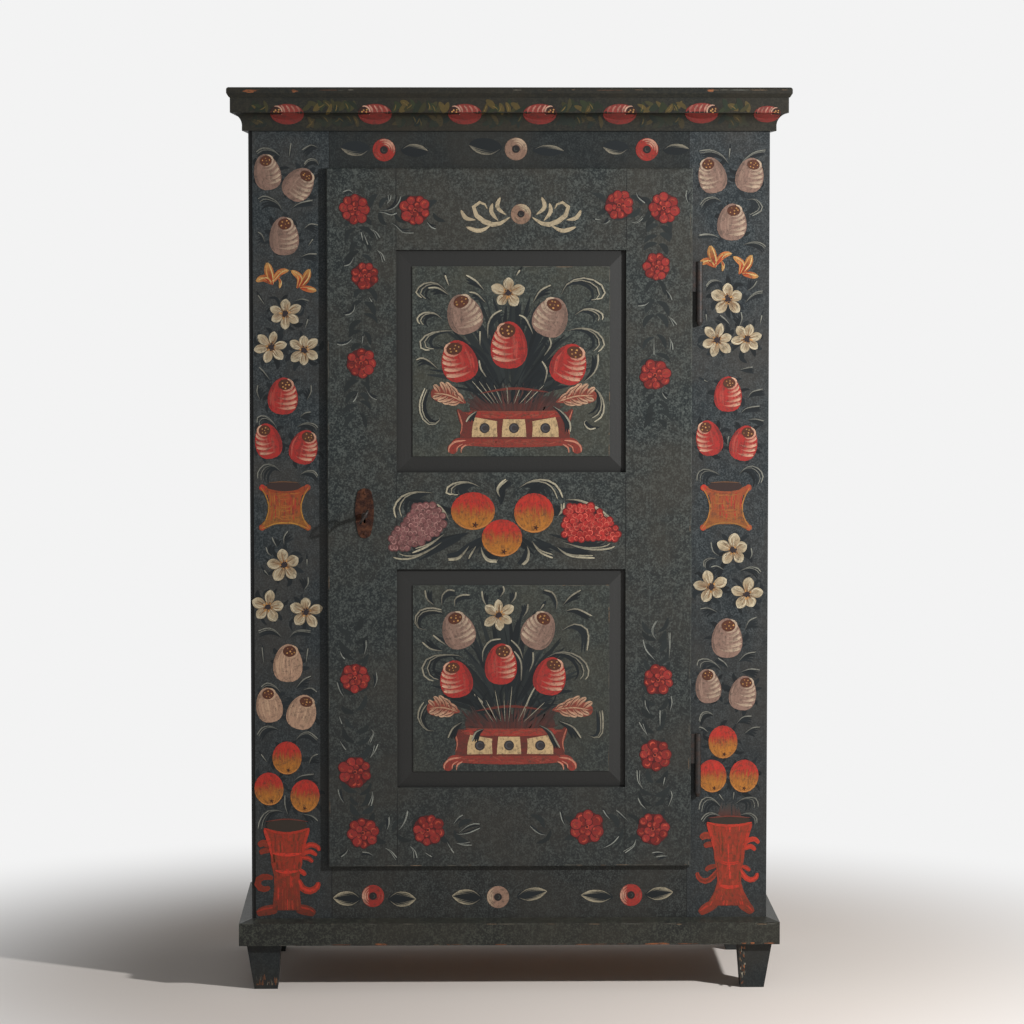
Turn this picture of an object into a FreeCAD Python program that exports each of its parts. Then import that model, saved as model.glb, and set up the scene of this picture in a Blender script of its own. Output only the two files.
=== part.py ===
# Painted one-door farmhouse cupboard: a framed pine case on tapered feet, with a lipped
# frame-and-panel door on lift-off pin hinges, a box lock with its key, and shelves inside.
# Millimetres. X runs to the right, Y to the back, Z up; the floor is at zero.
import FreeCAD
import Part
import math
import os

Vec = FreeCAD.Vector

# Case
CASE_WIDTH = 1060.0
CASE_DEPTH = 480.0
CASE_HEIGHT = 1734.0
FOOT_HEIGHT = 95.0

# Front frame
FRAME_THICKNESS = 26.0
STILE_WIDTH = 164.5
TOP_RAIL_HEIGHT = 149.0
BOTTOM_RAIL_HEIGHT = 167.0
CORNER_REBATE_WIDTH = 8.0
CORNER_REBATE_DEPTH = 3.0
FRAME_TENON_THICKNESS = 9.0
FRAME_TENON_LENGTH = 60.0
TENON_SHOULDER = 20.0
PEG_RADIUS = 4.5
PEG_SETBACK = 22.0
PEG_SPREAD_SHARE = 0.28
PEG_FIT = 0.1
JOINT_FIT = 0.2

# Sides, back, bottom and shelves
SIDE_THICKNESS = 24.0
SIDE_TONGUE = 8.0
BACK_THICKNESS = 18.0
BACK_REBATE = 12.0
PLANK_COUNT = 5
PLANK_LAP = 10.0
PLANK_GAP = 0.8
BOTTOM_THICKNESS = 22.0
BOTTOM_DROP = 7.0
DADO_DEPTH = 8.0
SHELF_THICKNESS = 20.0
SHELF_SETBACK = 70.0
LOWER_SHELF_RISE = 393.5
MIDDLE_SHELF_RISE = 755.5
UPPER_SHELF_RISE = 1117.5
CLEAT_THICKNESS = 22.0
CLEAT_HEIGHT = 32.0
CLEAT_BEVEL = 10.0

# Top board and cornice
TOP_THICKNESS = 20.0
TOP_OVERHANG = 42.0
TOP_NOSE_RADIUS = 5.0
TOP_UNDERCUT_OUT = 5.0
TOP_UNDERCUT_HEIGHT = 8.0
CORNICE_HEIGHT = 67.0
CORNICE_FASCIA_HEIGHT = 31.0
CORNICE_FASCIA_OUT = 35.0
CORNICE_FILLET_OUT = 12.0
CORNICE_FILLET_HEIGHT = 8.0

# Plinth and feet
PLINTH_OUT = 26.0
PLINTH_HEIGHT = 46.0
PLINTH_SLOPE = 7.0
FOOT_TOP = 70.0
FOOT_BOTTOM = 48.0
FOOT_INSET = 15.0
FOOT_OUTER_TAPER = 15.0
FOOT_STEM = 40.0
FOOT_STEM_HEIGHT = 100.0

# Door
DOOR_THICKNESS = 36.0
DOOR_PROUD = 12.5
LIP_OVERLAP = 7.0
LIP_GAP = 0.5
LIP_CHAMFER = 2.5
DOOR_GAP = 3.0
LOCK_STILE_WIDTH = 142.0
HINGE_STILE_WIDTH = 135.0
DOOR_TOP_RAIL = 166.0
DOOR_MIDDLE_RAIL = 198.0
DOOR_BOTTOM_RAIL = 165.0
LOWER_PANEL_SIGHT = 450.0
DOOR_TENON_LENGTH = 50.0
DOOR_TENON_THICKNESS = 8.5
GROOVE_DEPTH = 10.0
PANEL_SINK = 9.0
PANEL_FIT = 0.3
PANEL_BEVEL_WIDTH = 33.0
PANEL_BEVEL_RISE = 4.0
PANEL_FIELD_STEP = 2.0

# Hinges
HINGE_LENGTH = 123.0
HINGE_AXIS_OUT = 14.5
HINGE_GAP = 0.4
HINGE_PIN_FIT = 0.08
KNUCKLE_RADIUS = 6.5
PIN_RADIUS = 3.0
PIN_FINIAL = 8.0
PIN_TOP_SPACE = 6.0
LEAF_THICKNESS = 2.5
DOOR_LEAF_REACH = 40.0
FRAME_LEAF_REACH = 20.0
UPPER_HINGE_DROP = 189.5
LOWER_HINGE_RISE = 151.5
HINGE_NAIL_RADIUS = 1.6
HINGE_NAIL_LENGTH = 26.0
HINGE_NAIL_SPREAD_SHARE = 0.25
HINGE_NAIL_INSET = 22.0

# Lock, key and escutcheon
LOCK_BACKSET = 76.5
LOCK_RISE = 111.0
LOCK_EDGE_INSET = 4.5
LOCK_LENGTH = 120.0
LOCK_BELOW = 28.0
LOCK_ABOVE = 50.0
LOCK_DEPTH = 22.0
LOCK_WALL = 2.0
LOCK_FLANGE = 16.0
LOCK_NAIL_INSET = 10.0
LOCK_NAIL_RADIUS = 2.0
LOCK_NAIL_LENGTH = 18.0
LOCK_NAIL_HEAD_RADIUS = 4.0
LOCK_NAIL_HEAD = 1.5
KEY_FIT = 0.5
KEY_SHANK_RADIUS = 4.0
KEY_STANDOUT = 62.0
KEY_TURNED = 30.0
KEY_THROW_TURN = 330.0
KEY_BIT_RADIUS = 16.0
KEY_BIT_LENGTH = 12.0
KEY_BIT_THICKNESS = 3.4
KEY_BIT_CLEAR = 2.0
KEY_WARD_SHARE = 0.3
KEY_BOW_WIRE_RADIUS = 2.8
KEY_BOW_RADIUS = 9.5
KEY_BOW_STRAIGHT = 9.0
KEY_COLLAR_RADIUS = 6.0
KEY_COLLAR_LENGTH = 4.0
KEY_COLLAR_SETBACK = 6.0
BOLT_THROW = 16.5
BOLT_HEIGHT = 22.0
BOLT_THICKNESS = 8.0
BOLT_CLEAR = 5.0
BOLT_RISE = 13.5
BOLT_FIT = 0.4
BOLT_TAIL_SPACE = 10.0
TALON_WIDTH = 30.0
TALON_DEPTH = 4.5
GUIDE_RADIUS = 3.0
GUIDE_SETBACK = 32.0
SPRING_THICKNESS = 1.2
SPRING_WIDTH = 8.0
SPRING_FOOT = 14.0
SPRING_REACH = 46.0
ESCUTCHEON_WIDTH = 38.0
ESCUTCHEON_NECK_SHARE = 0.72
ESCUTCHEON_ABOVE = 55.0
ESCUTCHEON_BELOW = 47.0
ESCUTCHEON_THICKNESS = 1.8
ESCUTCHEON_NAIL_INSET = 9.0
ESCUTCHEON_NAIL_RADIUS = 1.3
ESCUTCHEON_NAIL_LENGTH = 14.0
ESCUTCHEON_NAIL_HEAD_RADIUS = 3.6
ESCUTCHEON_NAIL_HEAD = 1.6
STRIKE_LENGTH = 90.0
STRIKE_WIDTH = 30.0
STRIKE_THICKNESS = 1.6

# One overrun serves every cut that has to pass right through a face
CUT_OVERRUN = 2.0

# Places worked out from the sizes above
HALF_WIDTH = CASE_WIDTH / 2
KEY_REACH = DOOR_PROUD + KEY_STANDOUT
FRONT_Y = (KEY_REACH - CASE_DEPTH) / 2
BACK_Y = FRONT_Y + CASE_DEPTH
FRAME_BACK_Y = FRONT_Y + FRAME_THICKNESS
PLANK_FRONT_Y = BACK_Y - BACK_THICKNESS
CASE_BOTTOM = FOOT_HEIGHT
CASE_TOP = CASE_BOTTOM + CASE_HEIGHT
CORNICE_BOTTOM = CASE_TOP - CORNICE_HEIGHT
PLINTH_TOP = CASE_BOTTOM + PLINTH_HEIGHT + PLINTH_SLOPE
OPENING_HALF = HALF_WIDTH - STILE_WIDTH
OPENING_BOTTOM = CASE_BOTTOM + BOTTOM_RAIL_HEIGHT
OPENING_TOP = CASE_TOP - TOP_RAIL_HEIGHT
INNER_HALF = HALF_WIDTH - SIDE_THICKNESS
BOTTOM_TOP = OPENING_BOTTOM - BOTTOM_DROP
BOTTOM_UNDER = BOTTOM_TOP - BOTTOM_THICKNESS
SHELF_TOPS = {
    "lower": BOTTOM_TOP + LOWER_SHELF_RISE,
    "middle": BOTTOM_TOP + MIDDLE_SHELF_RISE,
    "upper": BOTTOM_TOP + UPPER_SHELF_RISE,
}
TOP_FINISH = CASE_TOP + TOP_THICKNESS

DOOR_HALF = OPENING_HALF + LIP_OVERLAP
DOOR_BODY_HALF = OPENING_HALF - DOOR_GAP
DOOR_BOTTOM = OPENING_BOTTOM - LIP_OVERLAP
DOOR_TOP = OPENING_TOP + LIP_OVERLAP
DOOR_FRONT_Y = FRONT_Y - DOOR_PROUD
DOOR_BACK_Y = DOOR_FRONT_Y + DOOR_THICKNESS
LIP_BACK_Y = FRONT_Y - LIP_GAP
LIP_STEP = LIP_OVERLAP + DOOR_GAP
GROOVE_FRONT_Y = DOOR_FRONT_Y + PANEL_SINK
GROOVE_BACK_Y = GROOVE_FRONT_Y + DOOR_TENON_THICKNESS
SIGHT_LEFT = -DOOR_HALF + LOCK_STILE_WIDTH
SIGHT_RIGHT = DOOR_HALF - HINGE_STILE_WIDTH
LOWER_SIGHT_Z = (DOOR_BOTTOM + DOOR_BOTTOM_RAIL, DOOR_BOTTOM + DOOR_BOTTOM_RAIL + LOWER_PANEL_SIGHT)
UPPER_SIGHT_Z = (LOWER_SIGHT_Z[1] + DOOR_MIDDLE_RAIL, DOOR_TOP - DOOR_TOP_RAIL)

HINGE_X = DOOR_HALF + HINGE_AXIS_OUT
HINGE_Y = FRONT_Y - KNUCKLE_RADIUS - HINGE_GAP
HINGE_BOTTOMS = {
    "upper": DOOR_TOP - UPPER_HINGE_DROP - HINGE_LENGTH,
    "lower": DOOR_BOTTOM + LOWER_HINGE_RISE,
}

KEY_X = -DOOR_HALF + LOCK_BACKSET
KEY_Z = LOWER_SIGHT_Z[1] + LOCK_RISE
LOCK_LEFT = -DOOR_BODY_HALF + LOCK_EDGE_INSET
LOCK_RIGHT = LOCK_LEFT + LOCK_LENGTH
LOCK_PLATE_BACK_Y = DOOR_BACK_Y + LOCK_WALL
LOCK_BACK_Y = LOCK_PLATE_BACK_Y + LOCK_DEPTH
LOCK_Z = (KEY_Z - LOCK_BELOW, KEY_Z + LOCK_ABOVE)
BOLT_Y = (LOCK_PLATE_BACK_Y + BOLT_CLEAR, LOCK_PLATE_BACK_Y + BOLT_CLEAR + BOLT_THICKNESS)
BOLT_Z = (KEY_Z + BOLT_RISE, KEY_Z + BOLT_RISE + BOLT_HEIGHT)
BOLT_MIDDLE_Z = (BOLT_Z[0] + BOLT_Z[1]) / 2
BOLT_PER_DEGREE = BOLT_THROW / KEY_THROW_TURN
BOLT_SLACK = BOLT_PER_DEGREE * KEY_TURNED
GUIDE_X = LOCK_RIGHT - LOCK_WALL - BOLT_TAIL_SPACE - GUIDE_SETBACK


# Shape helpers

def span(a, b):
    """The two values, low one first."""
    return (min(a, b), max(a, b))


def grown(pair, amount):
    """A low and high pair, moved apart by an amount at each end."""
    return (pair[0] - amount, pair[1] + amount)


def block(x, y, z):
    """A box from three low and high pairs."""
    size = (x[1] - x[0], y[1] - y[0], z[1] - z[0])
    return Part.makeBox(*size, Vec(x[0], y[0], z[0]))


def closed_outline(points):
    """A closed outline through points."""
    corners = [Vec(*p) for p in points]
    return Part.makePolygon(corners + corners[:1])


def prism(points, along):
    """A closed outline pushed along a vector."""
    return Part.Face(closed_outline(points)).extrude(Vec(*along))


def rod(radius, start, end):
    """A round bar from one point to another."""
    along = Vec(*end) - Vec(*start)
    return Part.makeCylinder(radius, along.Length, Vec(*start), along)


def through(radius, x, deep, z):
    """A round bar from front to back over a span of depth."""
    return rod(radius, (x, deep[0], z), (x, deep[1], z))


def joined(first, *others):
    """Several solids as one, with flush faces merged."""
    return first.fuse(list(others)).removeSplitter()


def group(solids):
    """Separate solids kept in one node."""
    return Part.makeCompound(list(solids))


# Front frame of the case: two broad stiles with two rails tenoned between them

def rail_spans():
    """Height spans of the two front rails."""
    return {"top": (OPENING_TOP, CASE_TOP), "bottom": (CASE_BOTTOM, OPENING_BOTTOM)}


def frame_tenon_y():
    """Depth span of a frame tenon, centred in the thickness."""
    middle = FRONT_Y + FRAME_THICKNESS / 2
    return (middle - FRAME_TENON_THICKNESS / 2, middle + FRAME_TENON_THICKNESS / 2)


def frame_peg_places():
    """X and Z of the pegs that hold the front frame's four joints."""
    places = []
    for low, high in rail_spans().values():
        tenon_height = high - low - TENON_SHOULDER - TENON_SHOULDER
        spread = PEG_SPREAD_SHARE * tenon_height
        for side in (-1, 1):
            for step in (-1, 1):
                x = side * (OPENING_HALF + PEG_SETBACK)
                places.append((x, (low + high) / 2 + step * spread))
    return places


def frame_pegs(fit=0.0):
    """The pegs, or with a fit their holes."""
    return [
        through(PEG_RADIUS + fit, x, (FRONT_Y, FRAME_BACK_Y), z)
        for x, z in frame_peg_places()
    ]


def front_stile(side):
    """A front stile; side is -1 on the left and 1 on the right."""
    outer = side * HALF_WIDTH
    inner = side * OPENING_HALF
    stile = block(span(inner, outer), (FRONT_Y, FRAME_BACK_Y), (CASE_BOTTOM, CASE_TOP))
    rebate_x = span(outer - side * CORNER_REBATE_WIDTH, outer + side * CUT_OVERRUN)
    rebate_y = (FRONT_Y - CUT_OVERRUN, FRONT_Y + CORNER_REBATE_DEPTH)
    cuts = [block(rebate_x, rebate_y, (PLINTH_TOP, CORNICE_BOTTOM))]
    for low, high in rail_spans().values():
        depth_x = span(inner - side * CUT_OVERRUN, inner + side * (FRAME_TENON_LENGTH + JOINT_FIT))
        height_z = (low + TENON_SHOULDER - JOINT_FIT, high - TENON_SHOULDER + JOINT_FIT)
        cuts.append(block(depth_x, grown(frame_tenon_y(), JOINT_FIT), height_z))
    tongue_x = grown(side_tongue_x(side), JOINT_FIT)
    tongue_y = (FRAME_BACK_Y - SIDE_TONGUE - JOINT_FIT, FRAME_BACK_Y + CUT_OVERRUN)
    cuts.append(block(tongue_x, tongue_y, grown((CASE_BOTTOM, CASE_TOP), CUT_OVERRUN)))
    cuts += frame_pegs(PEG_FIT)
    if side > 0:
        cuts += [frame_leaf_plate(which, JOINT_FIT) for which in HINGE_BOTTOMS]
        cuts += frame_leaf_nails(PEG_FIT)
    return stile.cut(cuts)


def front_rail(which):
    """A front rail with its two tenons."""
    low, high = rail_spans()[which]
    body = block((-OPENING_HALF, OPENING_HALF), (FRONT_Y, FRAME_BACK_Y), (low, high))
    reach = OPENING_HALF + FRAME_TENON_LENGTH
    tenon = block((-reach, reach), frame_tenon_y(), (low + TENON_SHOULDER, high - TENON_SHOULDER))
    return joined(body, tenon).cut(frame_pegs(PEG_FIT))


# Sides, back, bottom, top and shelves

def side_tongue_x(side):
    """X span of the tongue that joins a side board to its stile."""
    middle = side * (HALF_WIDTH - SIDE_THICKNESS / 2)
    return (middle - SIDE_TONGUE / 2, middle + SIDE_TONGUE / 2)


def side_board(side):
    """A side board with its tongue, its housing for the bottom and its rebate for the back."""
    outer = side * HALF_WIDTH
    inner = side * INNER_HALF
    board = block(span(inner, outer), (FRAME_BACK_Y, BACK_Y), (CASE_BOTTOM, CASE_TOP))
    tongue_y = (FRAME_BACK_Y - SIDE_TONGUE, FRAME_BACK_Y + SIDE_TONGUE)
    tongue = block(side_tongue_x(side), tongue_y, (CASE_BOTTOM, CASE_TOP))
    housing_x = span(inner - side * CUT_OVERRUN, inner + side * DADO_DEPTH)
    housing = block(housing_x, (FRAME_BACK_Y, BACK_Y), grown((BOTTOM_UNDER, BOTTOM_TOP), JOINT_FIT))
    rebate_x = span(inner - side * CUT_OVERRUN, inner + side * BACK_REBATE)
    rebate_y = (PLANK_FRONT_Y, BACK_Y + CUT_OVERRUN)
    rebate = block(rebate_x, rebate_y, grown((CASE_BOTTOM, CASE_TOP), CUT_OVERRUN))
    return joined(board, tongue).cut([housing, rebate])


def bottom_board():
    """The cupboard's floor, housed in both sides."""
    reach = INNER_HALF + DADO_DEPTH - JOINT_FIT
    return block((-reach, reach), (FRAME_BACK_Y, PLANK_FRONT_Y), (BOTTOM_UNDER, BOTTOM_TOP))


def back_plank(index):
    """One upright back plank, half lapped over its right-hand neighbour."""
    left_end = -(INNER_HALF + BACK_REBATE)
    pitch = -left_end * 2 / PLANK_COUNT
    left = left_end + pitch * index
    right = left + pitch
    middle_y = PLANK_FRONT_Y + BACK_THICKNESS / 2
    half_gap = PLANK_GAP / 2
    first = index == 0
    last = index == PLANK_COUNT - 1
    front_left = left if first else left + PLANK_LAP
    back_right = right if last else right - half_gap
    front_right = right if last else right + PLANK_LAP - PLANK_GAP
    back_left = left if first else left + half_gap
    outline = [
        (front_left, PLANK_FRONT_Y),
        (front_right, PLANK_FRONT_Y),
        (front_right, middle_y - half_gap / 2),
        (back_right, middle_y - half_gap / 2),
        (back_right, BACK_Y),
        (back_left, BACK_Y),
        (back_left, middle_y),
        (front_left, middle_y),
    ]
    return prism([(x, y, CASE_BOTTOM) for x, y in outline], (0, 0, CASE_HEIGHT))


def shelf(which):
    """A loose shelf board resting on its cleats."""
    top = SHELF_TOPS[which]
    reach = INNER_HALF - JOINT_FIT
    shelf_y = (FRONT_Y + SHELF_SETBACK, PLANK_FRONT_Y - JOINT_FIT)
    return block((-reach, reach), shelf_y, (top - SHELF_THICKNESS, top))


def shelf_cleat(which, side):
    """The batten under one end of a shelf, bevelled along its lower inner edge."""
    top = SHELF_TOPS[which] - SHELF_THICKNESS
    wall = side * INNER_HALF
    nose = wall - side * CLEAT_THICKNESS
    start = FRONT_Y + SHELF_SETBACK
    outline = [
        (wall, start, top),
        (nose, start, top),
        (nose, start, top - CLEAT_HEIGHT + CLEAT_BEVEL),
        (nose + side * CLEAT_BEVEL, start, top - CLEAT_HEIGHT),
        (wall, start, top - CLEAT_HEIGHT),
    ]
    return prism(outline, (0, PLANK_FRONT_Y - start, 0))


def top_board():
    """The top board: rounded above and undercut below along its front and ends."""
    reach = HALF_WIDTH + TOP_OVERHANG
    front = FRONT_Y - TOP_OVERHANG
    board = block((-reach, reach), (front, BACK_Y), (CASE_TOP, TOP_FINISH))

    def on_show(edge, height):
        middle = edge.CenterOfMass
        outer = abs(middle.y - front) < JOINT_FIT or abs(abs(middle.x) - reach) < JOINT_FIT
        return outer and abs(middle.z - height) < JOINT_FIT

    upper = [e for e in board.Edges if on_show(e, TOP_FINISH)]
    board = board.makeFillet(TOP_NOSE_RADIUS, upper)
    undercut = [
        (0, CASE_TOP),
        (-TOP_UNDERCUT_OUT, CASE_TOP),
        (0, CASE_TOP + TOP_UNDERCUT_HEIGHT),
    ]
    deep = BACK_Y - front
    cuts = [prism([(-reach, front - out, z) for out, z in undercut], (reach + reach, 0, 0))]
    for side in (-1, 1):
        edge = side * reach
        cuts.append(prism([(edge + side * out, front, z) for out, z in undercut], (0, deep, 0)))
    return board.cut(cuts)


# Mouldings mitred round the front corners

def mitre_plan(which, out):
    """Plan outline that cuts a moulding to its mitres: the front run or one return."""
    half = HALF_WIDTH
    if which == "front":
        tip = half + out
        return [(-half, FRONT_Y), (half, FRONT_Y), (tip, FRONT_Y - out), (-tip, FRONT_Y - out)]
    side = -1 if which == "left" else 1
    return [
        (side * half, FRONT_Y),
        (side * (half + out), FRONT_Y - out),
        (side * (half + out), BACK_Y),
        (side * half, BACK_Y),
    ]


def moulding(which, profile, out, low, high):
    """A profile face, drawn by a function of place, run along the case and cut to its mitres."""
    reach = HALF_WIDTH + out
    if which == "front":
        face = profile(lambda o, z: Vec(-reach, FRONT_Y - o, z))
        run = face.extrude(Vec(reach + reach, 0, 0))
    else:
        side = -1 if which == "left" else 1
        face = profile(lambda o, z: Vec(side * (HALF_WIDTH + o), FRONT_Y - out, z))
        run = face.extrude(Vec(0, CASE_DEPTH + out, 0))
    plan = prism([(x, y, low) for x, y in mitre_plan(which, out)], (0, 0, high - low))
    return run.common(plan)


def cornice_profile(place):
    """Cornice section: a small fillet, a cove and a plain fascia under the top board."""
    cove_top = CASE_TOP - CORNICE_FASCIA_HEIGHT
    cove_foot = CORNICE_BOTTOM + CORNICE_FILLET_HEIGHT
    cove_out = CORNICE_FASCIA_OUT - CORNICE_FILLET_OUT
    diagonal = math.cos(math.radians(45))
    deep_out = CORNICE_FASCIA_OUT - cove_out * diagonal
    deep_z = cove_foot + (cove_top - cove_foot) * diagonal
    foot = place(CORNICE_FILLET_OUT, cove_foot)
    brow = place(CORNICE_FASCIA_OUT, cove_top)
    cove = Part.Arc(foot, place(deep_out, deep_z), brow).toShape()
    heel = place(0, CORNICE_BOTTOM)
    before = Part.makePolygon([heel, place(CORNICE_FILLET_OUT, CORNICE_BOTTOM), foot])
    after = Part.makePolygon([brow, place(CORNICE_FASCIA_OUT, CASE_TOP), place(0, CASE_TOP), heel])
    return Part.Face(Part.Wire(before.Edges + [cove] + after.Edges))


def plinth_profile(place):
    """Plinth section: an upright face with a top that falls to the front."""
    edge = CASE_BOTTOM + PLINTH_HEIGHT
    low = [place(0, CASE_BOTTOM), place(PLINTH_OUT, CASE_BOTTOM)]
    corners = low + [place(PLINTH_OUT, edge), place(0, PLINTH_TOP)]
    return Part.Face(Part.makePolygon(corners + corners[:1]))


def cornice(which):
    """One run of the cornice."""
    return moulding(which, cornice_profile, CORNICE_FASCIA_OUT, CORNICE_BOTTOM, CASE_TOP)


def plinth(which):
    """One run of the plinth."""
    return moulding(which, plinth_profile, PLINTH_OUT, CASE_BOTTOM, PLINTH_TOP)


# Feet

def foot(side, end):
    """A tapered foot with a square stem fixed in a corner of the case; end is -1 at the front."""
    outer_x = side * (HALF_WIDTH + PLINTH_OUT - FOOT_INSET)
    outer_y = FRONT_Y - PLINTH_OUT + FOOT_INSET if end < 0 else BACK_Y
    in_x = -side
    in_y = -end

    def square(width, inset, z):
        x = span(outer_x + in_x * inset, outer_x + in_x * (inset + width))
        y = span(outer_y + in_y * inset, outer_y + in_y * (inset + width))
        return closed_outline([(x[0], y[0], z), (x[1], y[0], z), (x[1], y[1], z), (x[0], y[1], z)])

    ends = [square(FOOT_TOP, 0, CASE_BOTTOM), square(FOOT_BOTTOM, FOOT_OUTER_TAPER, 0)]
    taper = Part.makeLoft(ends, True, True)
    wall_x = side * INNER_HALF
    wall_y = FRAME_BACK_Y if end < 0 else PLANK_FRONT_Y
    stem_x = span(wall_x, wall_x + in_x * FOOT_STEM)
    stem_y = span(wall_y, wall_y + in_y * FOOT_STEM)
    stem = block(stem_x, stem_y, (CASE_BOTTOM, CASE_BOTTOM + FOOT_STEM_HEIGHT))
    return joined(taper, stem)


# Door frame and panels

def door_rail_spans():
    """Height spans of the three door rails."""
    return {
        "top": (UPPER_SIGHT_Z[1], DOOR_TOP),
        "middle": (LOWER_SIGHT_Z[1], UPPER_SIGHT_Z[0]),
        "bottom": (DOOR_BOTTOM, LOWER_SIGHT_Z[0]),
    }


def door_tenon_z(which):
    """Height span of a door rail's tenon, kept clear of the door's outer edges."""
    low, high = door_rail_spans()[which]
    return (low + TENON_SHOULDER, high - TENON_SHOULDER)


def door_peg_places():
    """X and Z of the pegs in the door's six joints."""
    places = []
    for which in door_rail_spans():
        low, high = door_tenon_z(which)
        spread = PEG_SPREAD_SHARE * (high - low)
        for sight, away in ((SIGHT_LEFT, -1), (SIGHT_RIGHT, 1)):
            for step in (-1, 1):
                places.append((sight + away * PEG_SETBACK, (low + high) / 2 + step * spread))
    return places


def door_pegs(fit=0.0):
    """The door's pegs, or with a fit their holes."""
    return [
        through(PEG_RADIUS + fit, x, (DOOR_FRONT_Y, DOOR_BACK_Y), z)
        for x, z in door_peg_places()
    ]


def lip_cuts():
    """The step round the door's back, which leaves the lip, and the chamfer round its face."""
    back = (LIP_BACK_Y, DOOR_BACK_Y + CUT_OVERRUN)
    across = grown((-DOOR_HALF, DOOR_HALF), CUT_OVERRUN)
    height = grown((DOOR_BOTTOM, DOOR_TOP), CUT_OVERRUN)
    body_bottom = DOOR_BOTTOM + LIP_STEP
    body_top = DOOR_TOP - LIP_STEP
    cuts = [
        block((across[0], -DOOR_BODY_HALF), back, height),
        block((DOOR_BODY_HALF, across[1]), back, height),
        block(across, back, (height[0], body_bottom)),
        block(across, back, (body_top, height[1])),
    ]
    y0 = DOOR_FRONT_Y
    long_x = across[1] - across[0]
    long_z = height[1] - height[0]
    for side in (-1, 1):
        edge = side * DOOR_HALF
        corner = [(edge, y0), (edge - side * LIP_CHAMFER, y0), (edge, y0 + LIP_CHAMFER)]
        cuts.append(prism([(x, y, height[0]) for x, y in corner], (0, 0, long_z)))
    for edge, inward in ((DOOR_BOTTOM, 1), (DOOR_TOP, -1)):
        corner = [(y0, edge), (y0, edge + inward * LIP_CHAMFER), (y0 + LIP_CHAMFER, edge)]
        cuts.append(prism([(across[0], y, z) for y, z in corner], (long_x, 0, 0)))
    return cuts


def groove(sight, away, height):
    """The slot for a panel's edge in a stile; away points into the stile."""
    wide = span(sight - away * CUT_OVERRUN, sight + away * GROOVE_DEPTH)
    return block(wide, (GROOVE_FRONT_Y, GROOVE_BACK_Y), grown(height, GROOVE_DEPTH))


def door_stile(which):
    """A door stile with its mortises, panel grooves, peg holes and hardware seats."""
    lock = which == "lock"
    sight = SIGHT_LEFT if lock else SIGHT_RIGHT
    away = -1 if lock else 1
    stile = block(span(sight, away * DOOR_HALF), (DOOR_FRONT_Y, DOOR_BACK_Y), (DOOR_BOTTOM, DOOR_TOP))
    cuts = lip_cuts()
    for sight_z in (LOWER_SIGHT_Z, UPPER_SIGHT_Z):
        cuts.append(groove(sight, away, sight_z))
    tenon_y = grown((GROOVE_FRONT_Y, GROOVE_BACK_Y), JOINT_FIT)
    for rail in door_rail_spans():
        wide = span(sight - away * CUT_OVERRUN, sight + away * (DOOR_TENON_LENGTH + JOINT_FIT))
        cuts.append(block(wide, tenon_y, grown(door_tenon_z(rail), JOINT_FIT)))
    cuts += door_pegs(PEG_FIT)
    if lock:
        cuts.append(keyhole(grown((DOOR_FRONT_Y, DOOR_BACK_Y), CUT_OVERRUN)))
        cuts += escutcheon_nails(PEG_FIT)
        cuts += lock_nails(PEG_FIT)
    else:
        cuts += [door_leaf_plate(hinge, JOINT_FIT) for hinge in HINGE_BOTTOMS]
        cuts += door_leaf_nails(PEG_FIT)
    return stile.cut(cuts)


def door_rail(which):
    """A door rail with its tenons and the grooves for the panels it meets."""
    low, high = door_rail_spans()[which]
    body = block((SIGHT_LEFT, SIGHT_RIGHT), (DOOR_FRONT_Y, DOOR_BACK_Y), (low, high))
    reach = (SIGHT_LEFT - DOOR_TENON_LENGTH, SIGHT_RIGHT + DOOR_TENON_LENGTH)
    tenon = block(reach, (GROOVE_FRONT_Y, GROOVE_BACK_Y), door_tenon_z(which))
    wide = (SIGHT_LEFT, SIGHT_RIGHT)
    deep = (GROOVE_FRONT_Y, GROOVE_BACK_Y)
    cuts = lip_cuts() + door_pegs(PEG_FIT) + lock_nails(PEG_FIT)
    if which != "bottom":
        cuts.append(block(wide, deep, (low - CUT_OVERRUN, low + GROOVE_DEPTH)))
    if which != "top":
        cuts.append(block(wide, deep, (high - GROOVE_DEPTH, high + CUT_OVERRUN)))
    return joined(body, tenon).cut(cuts)


def door_panel(sight_z):
    """A fielded panel: a tongue all round, bevels that rise to a step, and a flat raised field."""
    sight_x = (SIGHT_LEFT, SIGHT_RIGHT)
    tongue_front = GROOVE_FRONT_Y + PANEL_FIT
    tongue_back = GROOVE_BACK_Y - PANEL_FIT
    out = GROOVE_DEPTH - PANEL_FIT - PANEL_FIT
    plate = block(grown(sight_x, out), (tongue_front, tongue_back), grown(sight_z, out))

    def frame_of(inset, y):
        x = grown(sight_x, -inset)
        z = grown(sight_z, -inset)
        return closed_outline([(x[0], y, z[0]), (x[1], y, z[0]), (x[1], y, z[1]), (x[0], y, z[1])])

    brow = tongue_front - PANEL_BEVEL_RISE
    ends = [frame_of(PANEL_FIT, tongue_front), frame_of(PANEL_BEVEL_WIDTH, brow)]
    bevel = Part.makeLoft(ends, True, True)
    field_y = (brow - PANEL_FIELD_STEP, brow)
    field = block(grown(sight_x, -PANEL_BEVEL_WIDTH), field_y, grown(sight_z, -PANEL_BEVEL_WIDTH))
    return joined(plate, bevel, field)


# Lift-off hinges: the pin stands in the frame's knuckle and the door's knuckle drops over it

def hinge_spans(which):
    """Height spans of the frame's knuckle below and the door's knuckle above."""
    low = HINGE_BOTTOMS[which]
    middle = low + HINGE_LENGTH / 2
    return (low, middle - HINGE_GAP / 2), (middle + HINGE_GAP / 2, low + HINGE_LENGTH)


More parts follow.
